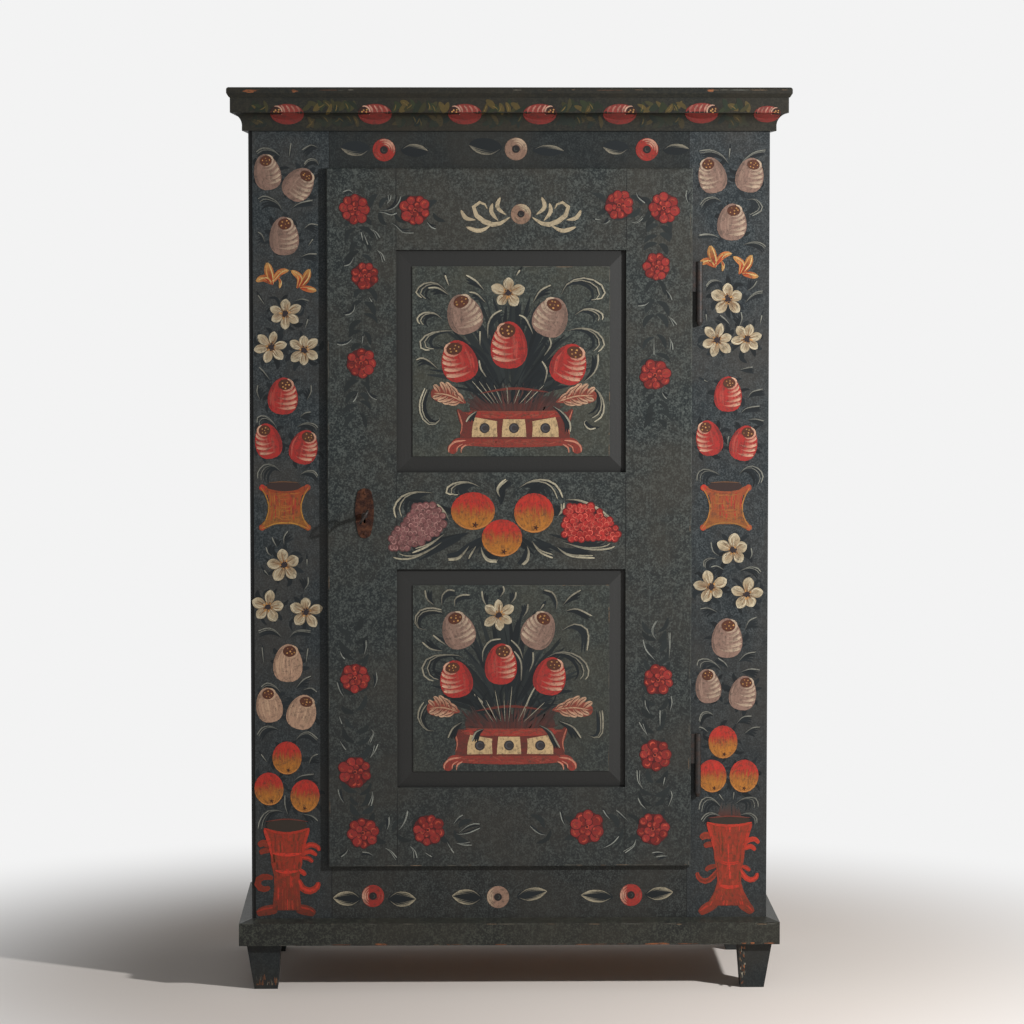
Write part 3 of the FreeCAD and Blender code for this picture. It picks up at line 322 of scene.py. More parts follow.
# %% Woods and metals of this cupboard
HONEY = tint(178, 138, 92)
RESIN = tint(126, 84, 47)
PLANKS = sorted(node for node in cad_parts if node.startswith("back_plank"))
PLANK_HEARTS = (0.02, -0.05, 0.04, 0.0, -0.03)
HEART_DEPTH = 0.09
PLANK_TONES = (tint(170, 132, 88), tint(182, 144, 98), tint(162, 122, 80), HONEY, tint(172, 128, 82))
plank_pine = {}
for node, aside, tone in zip(PLANKS, PLANK_HEARTS, PLANK_TONES, strict=True):
    low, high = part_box(node)
    heart = ((low.x + high.x) / 2 + aside, low.y - HEART_DEPTH, 0)
    plank_pine[node] = bare_wood("bare_pine_" + node, tone, RESIN, UPRIGHT, heart)
shelf_pine = bare_wood("bare_pine_level", HONEY, RESIN, LEVEL)
cleat_pine = bare_wood("bare_pine_cleat", HONEY, RESIN, RUN_BACK)
old_iron = iron("old_iron", tint(25, 24, 24), tint(52, 49, 47), tint(54, 40, 33), 0.2, 0.5, 0.55)
plate_rust = iron("rusted_plate", tint(34, 18, 15), tint(60, 41, 35), tint(89, 57, 41), 0.22, 0.0, 0.8, 0.12)
print("woods and metals made")

# %% Give each board its finish
FINISHES = {
    "front_rail_top": high_rail_paint,
    "front_rail": rail_paint,
    "frame_pegs": case_paint,
    "front_stile_left": rebate_shadow_paint,
    "front_stile": case_paint,
    "side_": side_paint,
    "top_board": cornice_paint,
    "cornice_front": cornice_paint,
    "cornice_": cornice_return_paint,
    "plinth_front": plinth_paint,
    "plinth_": plinth_return_paint,
    "foot_": side_paint,
    **plank_pine,
    "bottom_board": shelf_pine,
    "shelf_cleats": cleat_pine,
    "shelf_": shelf_pine,
    "door_panel": panel_paint,
    "door_rail": door_rail_paint,
    "door_": door_paint,
    "escutcheon": plate_rust,
}


def finish_for(node):
    """The finish of the first name in the list that the node's name starts with, or iron."""
    return next((made for start, made in FINISHES.items() if node.startswith(start)), old_iron)


for node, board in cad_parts.items():
    board.data.materials.clear()
    board.data.materials.append(finish_for(node))
print("finished nodes", len(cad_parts))

# %% [markdown]
# ## Eased edges
# Planks and shelves were planed by hand, and no edge of theirs stayed sharp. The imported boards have
# sharp ones, so each gets a copy that is welded, cleaned of flat seams and bevelled where two faces
# meet. The copy stands for the board, and the joints of the back show as narrow grooves.

# %% Ease the edges of the bare boards
EASED = {"back_plank": 1.8 * MM, "shelf_lower": 1.4 * MM, "shelf_middle": 1.4 * MM, "shelf_upper": 1.4 * MM}


def eased(node, width):
    """A copy of a bare board with soft edges, in place of the sharp one."""
    maker = linked(node + "_maker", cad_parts[node].data.copy())
    maker.modifiers.new("weld", "WELD").merge_threshold = 0.01 * MM
    flat = maker.modifiers.new("flat", "DECIMATE")
    flat.decimate_type = "DISSOLVE"
    flat.angle_limit = math.radians(1)
    soft = maker.modifiers.new("soft", "BEVEL")
    soft.width = width
    soft.segments = 2
    soft.limit_method = "ANGLE"
    piece = plain(maker, "eased_" + node)
    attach(piece, "case")
    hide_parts(node)


def plain(maker, name):
    """What a maker's modifiers give, as a plain piece; the maker is removed."""
    bpy.context.view_layer.update()
    ready = maker.evaluated_get(bpy.context.evaluated_depsgraph_get())
    mesh = bpy.data.meshes.new_from_object(ready)
    mesh.name = name
    source = maker.data
    bpy.data.objects.remove(maker)
    bpy.data.meshes.remove(source)
    return linked(name, mesh)


for node in list(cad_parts):
    for start, width in EASED.items():
        if node.startswith(start):
            eased(node, width)

# %% [markdown]
# ## The brush
# A painter loads a brush, presses, pulls and lifts: the mark swells and then tapers. Nearly all of
# the ornament is such marks, from hair-thin scrolls to whole apples, which are only short and very
# broad strokes. So one Geometry Nodes tree makes them all. It takes thin lines that carry a half
# width, a colour, a layer and the shape of their tips. It smooths each line, crowds its points
# towards both ends so that round tips come out round, and sweeps a ring along it. Then the ring is
# pressed on to the board: its height becomes the paint's thickness, and later layers lie on top.

# %% Build the brush tree
def brush_tree():
    """A tree that turns lines into strokes of paint on an upright face."""
    tree = bpy.data.node_groups.new("brush", "GeometryNodeTree")
    sockets = (
        ("Lines", "NodeSocketGeometry"),
        ("Face", "NodeSocketFloat"),
        ("Carrier", "NodeSocketObject"),
        ("Thickness", "NodeSocketFloat"),
        ("Steps", "NodeSocketInt"),
        ("Ring Points", "NodeSocketInt"),
        ("Paint", "NodeSocketMaterial"),
    )
    for name, kind in sockets:
        tree.interface.new_socket(name, in_out="INPUT", socket_type=kind)
    tree.interface.new_socket("Strokes", in_out="OUTPUT", socket_type="NodeSocketGeometry")
    given = add(tree, "NodeGroupInput").outputs
    swept = brush_sweep(tree, given, brush_lines(tree, given))
    laid = brush_press(tree, given, swept)
    values = {"Geometry": laid, "Shade Smooth": False}
    laid = add(tree, "GeometryNodeSetShadeSmooth", values).outputs["Geometry"]
    whole = add(tree, "GeometryNodeRealizeInstances", {"Geometry": laid}).outputs["Geometry"]
    painted = add(tree, "GeometryNodeSetMaterial", {"Geometry": whole, "Material": given["Paint"]})
    add(tree, "NodeGroupOutput", {"Strokes": painted.outputs["Geometry"]})
    return tree


def carried(tree, name, kind="FLOAT"):
    """A value that the lines carry."""
    values = {"Name": name}
    return add(tree, "GeometryNodeInputNamedAttribute", values, data_type=kind).outputs["Attribute"]


def stored(tree, geometry, name, value, kind="FLOAT"):
    """Writes a value on every point."""
    values = {"Geometry": geometry, "Name": name, "Value": value}
    return add(tree, "GeometryNodeStoreNamedAttribute", values, data_type=kind).outputs["Geometry"]


# %% First part of the tree: smooth lines with points crowded at their tips
FINEST_HALF = 0.04 * MM


def brush_lines(tree, given):
    """Smooth lines that carry their colour and their half width at each point."""
    lines = add(tree, "GeometryNodeMeshToCurve", {"Mesh": given["Lines"]}).outputs["Curve"]
    smooth = add(tree, "GeometryNodeCurveSplineType", {"Curve": lines}, spline_type="CATMULL_ROM")
    smooth = smooth.outputs["Curve"]
    even = add(tree, "GeometryNodeResampleCurve", {"Curve": smooth, "Count": given["Steps"]}).outputs["Curve"]
    number = add(tree, "GeometryNodeSplineParameter").outputs["Index"]
    share = sums(tree, "DIVIDE", number, sums(tree, "SUBTRACT", given["Steps"], 1))
    swing = sums(tree, "COSINE", times(tree, share, math.pi), 0)
    crowded = sums(tree, "SUBTRACT", 0.5, times(tree, swing, 0.5))
    which = add(tree, "GeometryNodeCurveOfPoint").outputs["Curve Index"]

    def sampled(name, kind):
        value = carried(tree, name, kind)
        values = {"Curves": smooth, "Factor": crowded, "Curve Index": which, "Value": value}
        return add(tree, "GeometryNodeSampleCurve", values, data_type=kind, mode="FACTOR").outputs

    hue = sampled("hue", "FLOAT_COLOR")
    width = sampled("half_width", "FLOAT")
    along = add(tree, "GeometryNodeSplineLength").outputs["Length"]
    curve = stored(tree, even, "hue", hue["Value"], "FLOAT_COLOR")
    curve = stored(tree, curve, "along", times(tree, along, crowded))
    swollen = times(tree, sums(tree, "POWER", share, carried(tree, "swell")), math.pi)
    taper = sums(tree, "POWER", sums(tree, "SINE", swollen, 0), carried(tree, "tip"))
    reach = sums(tree, "MAXIMUM", times(tree, width["Value"], taper), FINEST_HALF)
    curve = stored(tree, curve, "reach", reach)
    placed = add(tree, "GeometryNodeSetPosition", {"Geometry": curve, "Position": hue["Position"]})
    return placed.outputs["Geometry"]


# %% Second part: sweep a squared ring along each line
def brush_sweep(tree, given, curve):
    """Tubes along the lines, flat on top and as wide as each point asks."""
    curve = add(tree, "GeometryNodeSetCurveNormal", {"Curve": curve}, mode="Z_UP").outputs["Curve"]
    values = {"Resolution": given["Ring Points"], "Radius": math.sqrt(2)}
    ring = add(tree, "GeometryNodeCurvePrimitiveCircle", values).outputs["Curve"]
    here = add(tree, "GeometryNodeInputPosition").outputs[0]
    inner = add(tree, "ShaderNodeVectorMath", {0: here, 1: (1, 1, 1)}, operation="MINIMUM").outputs[0]
    squared = add(tree, "ShaderNodeVectorMath", {0: inner, 1: (-1, -1, -1)}, operation="MAXIMUM").outputs[0]
    ring = add(tree, "GeometryNodeSetPosition", {"Geometry": ring, "Position": squared}).outputs["Geometry"]
    ring = stored(tree, ring, "across", add(tree, "ShaderNodeSeparateXYZ", {0: here}).outputs["X"])
    values = {"Curve": curve, "Profile Curve": ring, "Scale": carried(tree, "reach"), "Fill Caps": True}
    return add(tree, "GeometryNodeCurveToMesh", values).outputs["Mesh"]


# %% Third part: press the tubes flat on to their board
def brush_press(tree, given, swept):
    """The tubes turned upright and pressed on to the board, each on its own layer."""
    flat = add(tree, "ShaderNodeSeparateXYZ", {0: add(tree, "GeometryNodeInputPosition").outputs[0]}).outputs
    rise = sums(tree, "DIVIDE", flat["Z"], carried(tree, "reach"))
    upper = sums(tree, "GREATER_THAN", rise, -0.1)
    lifted = sums(tree, "ADD", rise, times(tree, upper, carried(tree, "layer")))
    height = times(tree, lifted, given["Thickness"])
    board = add(tree, "GeometryNodeObjectInfo", {"Object": given["Carrier"]}, transform_space="ORIGINAL")
    start = add(tree, "ShaderNodeCombineXYZ", {"X": flat["X"], "Y": -1.0, "Z": flat["Y"]}).outputs[0]
    values = {"Target Geometry": board.outputs["Geometry"], "Source Position": start}
    values.update({"Ray Direction": (0, 1, 0), "Ray Length": 2.0})
    ray = add(tree, "GeometryNodeRaycast", values).outputs
    struck = add(tree, "ShaderNodeSeparateXYZ", {0: ray["Hit Position"]}).outputs["Y"]
    values = {"Switch": ray["Is Hit"], "False": given["Face"], "True": struck}
    under = add(tree, "GeometryNodeSwitch", values, input_type="FLOAT").outputs["Output"]
    lie = {"X": flat["X"], "Y": sums(tree, "SUBTRACT", under, height), "Z": flat["Y"]}
    pressed = add(tree, "ShaderNodeCombineXYZ", lie).outputs[0]
    return add(tree, "GeometryNodeSetPosition", {"Geometry": swept, "Position": pressed}).outputs["Geometry"]


brush = brush_tree()
print("brush nodes", len(brush.nodes))

# %% [markdown]
# ## The ornament's paint
# One paint serves every stroke, because each point brings its own colour. What makes it look brushed
# is that bristles leave streaks along the stroke, and that old paint wears thin and lets the dark
# ground through. The streaks come from two values that the brush tree stores, one along and one
# across the stroke, so they follow every curve.

# %% Ornament paint
BRISTLES_ACROSS = 3.2
BRISTLES_ALONG = 55.0
LOAD_SHIFT = 40.0
PATCH_SCALE = 170
CRUMB_SCALE = 520
THIN_STREAK = tint(56, 48, 43)
THIN_PATCH = tint(54, 50, 46)
THIN_CRUMB = tint(48, 45, 42)
BRUSH_RELIEF = 0.4 * MM


def ornament_paint():
    """Brushed paint that takes its colour from the stroke."""
    material, tree, shader, place = finish("ornament_paint", 0.5)

    def trait(name):
        return add(tree, "ShaderNodeAttribute", attribute_name=name).outputs

    across = times(tree, trait("across")["Fac"], BRISTLES_ACROSS)
    along = times(tree, trait("along")["Fac"], BRISTLES_ALONG)
    load = times(tree, trait("load")["Fac"], LOAD_SHIFT)
    bristle = add(tree, "ShaderNodeCombineXYZ", {"X": across, "Y": along, "Z": load}).outputs[0]
    streak = noise(tree, bristle, 1.0, 3, 0.6)
    patch = noise(tree, place, PATCH_SCALE, 5, 0.7)
    crumb = noise(tree, place, CRUMB_SCALE, 3, 0.6)
    hue = trait("hue")["Color"]
    thin = times(tree, between(tree, streak, 0.44, 0.76), 0.45)
    coat = blend(tree, thin, hue, THIN_STREAK, "DARKEN")
    bare = times(tree, between(tree, patch, 0.48, 0.68), 0.55)
    coat = blend(tree, bare, coat, THIN_PATCH, "DARKEN")
    loose = times(tree, between(tree, crumb, 0.55, 0.72), 0.4)
    coat = blend(tree, loose, coat, THIN_CRUMB, "DARKEN")
    tree.links.new(coat, shader.inputs["Base Color"])
    relief(tree, shader, sums(tree, "ADD", streak, patch), 0.35, BRUSH_RELIEF)
    return material


stroke_paint = ornament_paint()
print("paint", stroke_paint.name)

# %% [markdown]
# ## Boards to paint on
# A painted board gathers the lines that the brush will follow. A place on it may be given in metres,
# or as a pixel of the photograph: a ray from the camera through that pixel meets the board's face
# there. When all lines are laid, the brush tree turns them into a plain mesh that rides with the
# board's body. A board with very many strokes is painted in two parts, so that no piece gets too
# heavy. No two strokes that meet may lie at the same height, or they would show through each other,
# so each gets a hair's breadth of its own.

# %% A board that gathers strokes
PAINT_THICKNESS = 0.08 * MM
LAYER_GAP = 2.0
HEIGHTS = 24
STROKE_STEPS = 12
FLAT_RING = 8
DRAPED_RING = 16
MOST_STROKES = 1000
chance = random.Random(12)
roll = chance.uniform


class Board:
    """One painted board, with the lines laid on it so far in metres across and up."""

    def __init__(self, name, body, face, carrier=None):
        self.name = name
        self.body = body
        self.face = face
        self.carrier = carrier
        self.points = []
        self.edges = []
        self.traits = {"half_width": [], "tip": [], "swell": [], "layer": [], "load": []}
        self.hues = []
        self.strokes = 0
        self.starts = [0]
        self.span = None

    def spot(self, across, down):
        """The place on the board that shows at a pixel of the photograph."""
        ray = Vector((across - PICTURE / 2, PICTURE / 2 - down, -FOCAL_PIXELS))
        ray.rotate(view.rotation_euler)
        hit = view.location + ray * ((self.face - view.location.y) / ray.y)
        return hit.x, hit.z

    def trail(self, pixels):
        """A line through pixels of the photograph."""
        return [self.spot(across, down) for across, down in pixels]

    def stroke(self, line, half, hue, layer=1.0, tip=1.0, swell=1.0):
        """Lays one stroke; its half width in millimetres and its colour may be lists along it."""
        halves = half if isinstance(half, (list, tuple)) else [half] * len(line)
        hues = hue if isinstance(hue, list) else [hue] * len(line)
        first = len(self.points)
        load = chance.random()
        height = layer * LAYER_GAP + self.strokes % HEIGHTS / (HEIGHTS + 1)
        self.strokes += 1
        for place, width, colour in zip(line, halves, hues, strict=True):
            self.points.append((place[0], place[1], 0.0))
            self.traits["half_width"].append(width * MM)
            self.hues.extend(colour)
        for name, value in (("tip", tip), ("swell", swell), ("layer", height), ("load", load)):
            self.traits[name].extend([value] * len(line))
        self.edges.extend((n, n + 1) for n in range(first, len(self.points) - 1))
        self.starts.append(len(self.points))

    def paint(self):
        """Runs the brush over all the lines, in parts where they are many; each part rides on the body."""
        parts = math.ceil(self.strokes / MOST_STROKES)
        for part in range(parts):
            name = self.name if parts == 1 else f"{self.name}_{part + 1}"
            first, last = (self.starts[round(self.strokes * n / parts)] for n in (part, part + 1))
            piece = self.brushed(name, first, last)
            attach(piece, self.body)
            print(name, "faces", len(piece.data.polygons))

    def brushed(self, name, first, last):
        """The strokes from one point of the lines up to another, as a plain piece."""
        lines = bpy.data.meshes.new(name + "_lines")
        edges = [(a - first, b - first) for a, b in self.edges if first <= a < last]
        lines.from_pydata(self.points[first:last], edges, [])
        for trait, values in self.traits.items():
            lines.attributes.new(trait, "FLOAT", "POINT").data.foreach_set("value", values[first:last])
        hues = self.hues[4 * first:4 * last]
        lines.attributes.new("hue", "FLOAT_COLOR", "POINT").data.foreach_set("color", hues)
        maker = linked(name + "_maker", lines)
        ring = DRAPED_RING if self.carrier else FLAT_RING
        settings = {"Face": self.face, "Thickness": PAINT_THICKNESS, "Steps": STROKE_STEPS,
                    "Ring Points": ring, "Paint": stroke_paint, "Carrier": self.carrier}
        return grown(maker, brush, settings, name)


# %% Turn what a tree makes into a plain mesh
def grown(maker, tree, settings, name):
    """Runs a node tree on a maker object and returns a plain piece; the maker is removed."""
    modifier = maker.modifiers.new(tree.name, "NODES")
    modifier.node_group = tree
    for socket in tree.interface.items_tree:
        if socket.in_out == "INPUT" and settings.get(socket.name) is not None:
            modifier[socket.identifier] = settings[socket.name]
    return plain(maker, name)


# %% A small tilted sheet, and the plainest marks
def turned(centre, tilt=0.0, size=1.0, tall=1.0):
    """A place on a small sheet in millimetres, laid at the centre and leaning to the right."""
    lean = math.radians(tilt)

    def at(x, y):
        right = x * math.cos(lean) + y * tall * math.sin(lean)
        up = y * tall * math.cos(lean) - x * math.sin(lean)
        return centre[0] + right * size * MM, centre[1] + up * size * MM
    return at


def leaning(start, end):
    """A small sheet that leans from one place towards another, and their distance in millimetres."""
    run = (end[0] - start[0], end[1] - start[1])
    return turned(start, math.degrees(math.atan2(*run))), math.hypot(*run) / MM


def mirrored(at, side):
    """The same small sheet, or its mirror image where the side is -1."""
    return lambda x, y: at(side * x, y)


def along(at, *points):
    """A line through points of a small sheet."""
    return [at(x, y) for x, y in points]


def arc(at, x, y, radius, start, end, points=6):
    """A line along an arc on a small sheet, with its angles in degrees."""
    turns = [math.radians(start + (end - start) * n / (points - 1)) for n in range(points)]
    return [at(x + radius * math.cos(t), y + radius * math.sin(t)) for t in turns]


def disc(board, at, x, y, radius, hue, layer, scale=1.0):
    """A round dab; scale is how much the sheet enlarges."""
    board.stroke(along(at, (x, y - radius), (x, y + radius)), radius * scale, hue, layer)


def pulled(board, at, profile, hue, layer):
    """A stroke pulled upwards, whose half width changes on the way as a profile of heights says."""
    board.stroke(along(at, *((0, y) for y, _ in profile)), [half for _, half in profile], hue, layer, 0)


def varied(hue, amount=0.12):
    """A colour a little lighter or darker, as each dab is."""
    change = 1 + roll(-amount, amount)
    return tuple(value * change for value in hue[:3]) + (1.0,)


# %% [markdown]
# ## Flowers and fruit
# The same few motifs come back all over the cupboard, each painted in three or four passes: a body
# colour, light strokes on one side, and dark or bright dots last. Each is a function here, so one
# can be tilted, resized and lit from either side, as the painter did by hand. A stroke's colour may
# change along it, which is how a light stripe melts into the body of a bud.

# %% Palette
GROUND = tint(57, 60, 58)
CREAM = tint(184, 172, 144)
DULL_CREAM = tint(172, 165, 143)
PALE_GREY = tint(128, 128, 118)
DARK_LEAF = tint(25, 29, 31)
BROWN_EYE = tint(78, 44, 33)
EYE_DOT = tint(174, 128, 76)
ORANGE = tint(164, 88, 49)
YELLOW = tint(180, 134, 78)
RED_BUD = (tint(154, 47, 43), tint(202, 160, 134))
MAUVE_BUD = (tint(130, 104, 92), tint(184, 163, 140))
PLAIN_BUD = (tint(164, 132, 110), tint(186, 156, 128))


def mixed(first, second, share):
    """A colour, or a place, that lies between two others."""
    return tuple(a + (b - a) * share for a, b in zip(first, second))


# %% A bud
BUD_HALF = 28.0
BUD_TALL = 37.5
BUD_SWELL = 0.84
EYE_RISE = 23.0
EYE_RADII = (13.0, 11.0)
STRIPE_RADII = (20.5, 30.5, 41.0, 51.0)
STRIPE_FLAT = 0.94
BUD_STREAKS = 10
PLAIN_BUD_STREAKS = 18


def egg_half(y):
    """Half the bud's breadth at a height above its middle, as the brush leaves it."""
    share = math.acos(-y / BUD_TALL) / math.pi
    return BUD_HALF * math.sin(math.pi * share ** BUD_SWELL)


def bud_stripes(board, at, body, light, lit, size):
    """Light stripes round the eye, like the rings of a shell, that melt into the bud's body."""
    for radius in STRIPE_RADII:
        radius += roll(-1.0, 1.0)

        def ring(turn):
            down = math.radians(turn)
            return lit * (3 + radius * math.sin(down)), EYE_RISE - STRIPE_FLAT * radius * math.cos(down)
        first = 100.0
        while first > 0 and abs(ring(first)[0]) > 0.96 * egg_half(max(-BUD_TALL, ring(first)[1])):
            first -= 3.0
        last = -roll(8, 26)
        for inward, half, share in ((0.0, 2.5, 0.0), (3.4, 1.0, 0.3)):
            turns = [first + (last - first) * n / 4 for n in range(5)]
            line = [(x, y + inward) for x, y in (ring(turn) for turn in turns)]
            hues = [mixed(varied(light), body, min(1.0, share + 0.24 * n)) for n in range(5)]
            halves = [half * size * k for k in (1.0, 1.0, 0.85, 0.6, 0.3)]
            board.stroke(along(at, *line), halves, hues, 3.5, 0.6)


# %% The whole bud
def bud(board, centre, tilt, finish_pair, lit=-1, size=1.0, tall=1.0):
    """A closed flower: an egg of colour, light stripes from its lit side and a dotted eye."""
    body, light = finish_pair
    at = turned(centre, tilt, size, tall)
    shade = mixed(body, DARK_LEAF, 0.32)
    trunk = along(at, (0, -BUD_TALL), (0, 0), (0, BUD_TALL))
    board.stroke(trunk, BUD_HALF * size, body, 2, 1, BUD_SWELL)
    dark_side = along(at, *((-lit * 0.86 * egg_half(y), y) for y in (-29, -12, 8, 27)))
    board.stroke(dark_side, 3.4 * size, shade, 2.5, 1.3)
    plain = finish_pair is PLAIN_BUD
    for _ in range(PLAIN_BUD_STREAKS if plain else BUD_STREAKS):
        lean = roll(-0.85, 0.85)
        rises = (roll(-30, -14), 0, roll(6, 22))
        streak = along(at, *((lean * egg_half(y), y) for y in rises))
        share = roll(0, 0.6 if plain else 0.12)
        board.stroke(streak, 1.8 * size, varied(mixed(body, light, share), 0.18), 3, 1.4)
    if not plain:
        bud_stripes(board, at, body, light, lit, size)
    heart = (3 * lit, EYE_RISE)
    wide, high = EYE_RADII
    eye = along(at, (heart[0] - wide, heart[1]), (heart[0] + wide, heart[1]))
    board.stroke(eye, high * size * tall, varied(BROWN_EYE), 4)
    turns = [math.radians(90 - lit * (12 + 188 * n / 6)) for n in range(7)]
    lid = [at(heart[0] + (wide + 1.2) * math.cos(t), heart[1] + (high + 1.2) * math.sin(t)) for t in turns]
    board.stroke(lid, 2.0 * size, [mixed(varied(light), body, 0.1 * n) for n in range(7)], 4.5, 1.0, 0.9)
    for n in range(6):
        t = math.radians(72 * n + roll(-20, 20))
        far = roll(0.45, 0.68) if n else 0.05
        x = heart[0] + far * wide * math.cos(t)
        y = heart[1] + far * high * math.sin(t)
        disc(board, at, x, y, roll(1.0, 1.7), varied(EYE_DOT, 0.35), 5, size)


# %% A star flower
STAR_RADIUS = 33.5
PETAL_HALF = 10.6
PETAL_ROOT = tint(120, 84, 52)
PETAL_BODY = tint(162, 146, 119)
PETAL_EDGE = tint(192, 180, 154)
STAR_HEART = tint(44, 38, 40)
STAR_SEED = tint(48, 38, 38)


def star(board, centre, petals=5, turn=0.0, size=1.0):
    """An open flower of pale pointed petals round a dark middle with orange stamens."""
    half = PETAL_HALF * (1.1 if petals == 5 else 0.94)
    for n in range(petals):
        at = turned(centre, turn + 360 * n / petals + roll(-7, 7), size)
        reach = STAR_RADIUS * roll(0.86, 1.1)
        body = along(at, (0, 2), (0, reach * 0.35), (0, reach * 0.7), (0, reach))
        body_hue = varied(PETAL_BODY)
        hues = [PETAL_ROOT, mixed(PETAL_ROOT, body_hue, 0.65), body_hue, varied(PETAL_EDGE)]
        board.stroke(body, half * size * roll(0.86, 1.04), hues, 2, 1.55, 1.2)
        lit = chance.choice((-1, 1))
        edge = along(at, (lit * 3, 9), (lit * half * 0.72, reach * 0.58), (lit * 0.6, reach - 1.5))
        board.stroke(edge, 1.1 * size, varied(PETAL_EDGE, 0.2), 3, 1.2)
        for lean in (-0.5, -0.1, 0.3, 0.6):
            crease = along(at, (lean * 4, 6), (lean * half * 0.9, reach * roll(0.55, 0.85)))
            hue = varied(mixed(PETAL_ROOT, PETAL_EDGE, chance.random()), 0.2)
            board.stroke(crease, 0.8 * size, hue, 3.5, 1.4)
    at = turned(centre, turn, size)
    for n in range(9):
        spoke = turned(centre, turn + 40 * n + roll(-12, 12), size)
        stamen = along(spoke, (0, 2), (roll(-1.5, 1.5), roll(8, 13)))
        board.stroke(stamen, 1.6 * size, varied(EYE_DOT if n % 3 else PETAL_ROOT, 0.25), 4, 0.9)
        seed = varied(STAR_SEED)
        disc(board, spoke, 0, roll(3.5, 7), roll(1.4, 2.2), seed, 5, size)
    disc(board, at, 0, 0, 4.9, STAR_HEART, 6, size)


# %% A lily
LILY_SPRUNG = (
    (((3, -17), (-14, -4), (-30, -11)), 7.0, 0.9),
    (((3, -18), (-3, 4), (-8, 27)), 9.5, 0.8),
    (((2, -14), (18, 7), (36, 11)), 6.5, 1.1),
    (((16, -5), (19, -14), (17, -25)), 3.0, 1.25),
)
LILY_WIDE = (
    (((-12, -17), (-6, 4), (-24, 19)), 6.5, 1.25),
    (((-7, -15), (5, 2), (13, 22)), 8.5, 0.8),
    (((-6, -16), (10, -18), (27, -22)), 6.5, 1.0),
)
LILY_EDGE = tint(200, 168, 112)
LILY_VEIN = tint(150, 56, 38)


def lily(board, centre, petals):
    """An orange lily seen from the side, its petals edged with yellow."""
    at = turned(centre)
    for points, half, tone in petals:
        hue = tuple(value * tone for value in ORANGE[:3]) + (1.0,)
        board.stroke(along(at, *points), half, [varied(hue), varied(hue), varied(YELLOW)], 2, 1.15, 1.1)
        for side, light in ((-0.62, YELLOW), (0.62, LILY_EDGE)):
            bows = [side * half * bow for bow in (0.3, 1.0, 0.35)]
            edge = [(x + bow, y + abs(side) * 1.5) for (x, y), bow in zip(points, bows)]
            board.stroke(along(at, *edge), 1.3, varied(light), 3, 1.2)
        vein = [(x + 0.8, y) for x, y in points[:2]]
        board.stroke(along(at, *vein), 1.6, varied(LILY_VEIN), 3, 1.4)


# %% An apple
APPLE_RADIUS = 30.0
APPLE_HUES = [tint(146, 92, 42), tint(164, 106, 46), tint(168, 106, 46), tint(150, 84, 43), tint(168, 50, 41),
              tint(176, 52, 42), tint(154, 46, 40)]
APPLE_RIM = tint(180, 118, 60)
APPLE_EYE = tint(60, 34, 25)
APPLE_STREAKS = 64


def apple(board, centre, tilt=0.0, size=1.0, tall=1.14):
    """An apple, red above and golden below, faintly streaked from the stalk down."""
    at = turned(centre, tilt, size, tall)
    last = len(APPLE_HUES) - 1
    trunk = along(at, *((0, APPLE_RADIUS * (2 * n / last - 1)) for n in range(last + 1)))
    board.stroke(trunk, APPLE_RADIUS * size, APPLE_HUES, 2)

    def meridian(lean, low, high):
        shares = [low + (high - low) * n / 3 for n in range(4)]
        return along(at, *((APPLE_RADIUS * lean * math.sqrt(1 - s * s), APPLE_RADIUS * s) for s in shares))

    def skin(share):
        spot = max(0.0, min(last - 0.001, (share + 1) * last / 2))
        return mixed(APPLE_HUES[int(spot)], APPLE_HUES[int(spot) + 1], spot - int(spot))
    for n in range(APPLE_STREAKS):
        lean = roll(-0.93, 0.93)
        low = roll(-0.92, 0.4)
        high = min(0.92, low + roll(0.35, 0.8))
        tone = roll(-0.26, 0.26)
        skins = [skin(low + (high - low) * k / 3 - tone) for k in range(4)]
        hues = [mixed(hue, DARK_LEAF, max(0.0, tone * 0.4)) for hue in skins]
        board.stroke(meridian(lean, low, high), roll(0.6, 1.6) * size, hues, 3 + n // 22 / 2, 1.3)
    turns = [math.radians(205 + 130 * n / 6) for n in range(7)]
    rim = along(at, *((APPLE_RADIUS * 0.95 * math.cos(t), APPLE_RADIUS * 0.95 * math.sin(t)) for t in turns))
    board.stroke(rim, 1.1 * size, varied(APPLE_RIM), 4.5, 1.2)
    for n in range(5):
        spoke = turned(at(3, -APPLE_RADIUS * 0.74), tilt + 72 * n + 15, size)
        board.stroke(along(spoke, (0, 0), (0, 4.4)), 1.0 * size, APPLE_EYE, 5, 1.0, 0.6)


# %% A rosette
ROSETTE_RADIUS = 26.6
ROSETTE_LOBES = ((8, 20.2, 8.0), (5, 9.4, 5.6))
ROSETTE_RED = tint(128, 41, 38)
ROSETTE_LIGHT = tint(164, 66, 50)
ROSETTE_EDGE = tint(78, 28, 28)


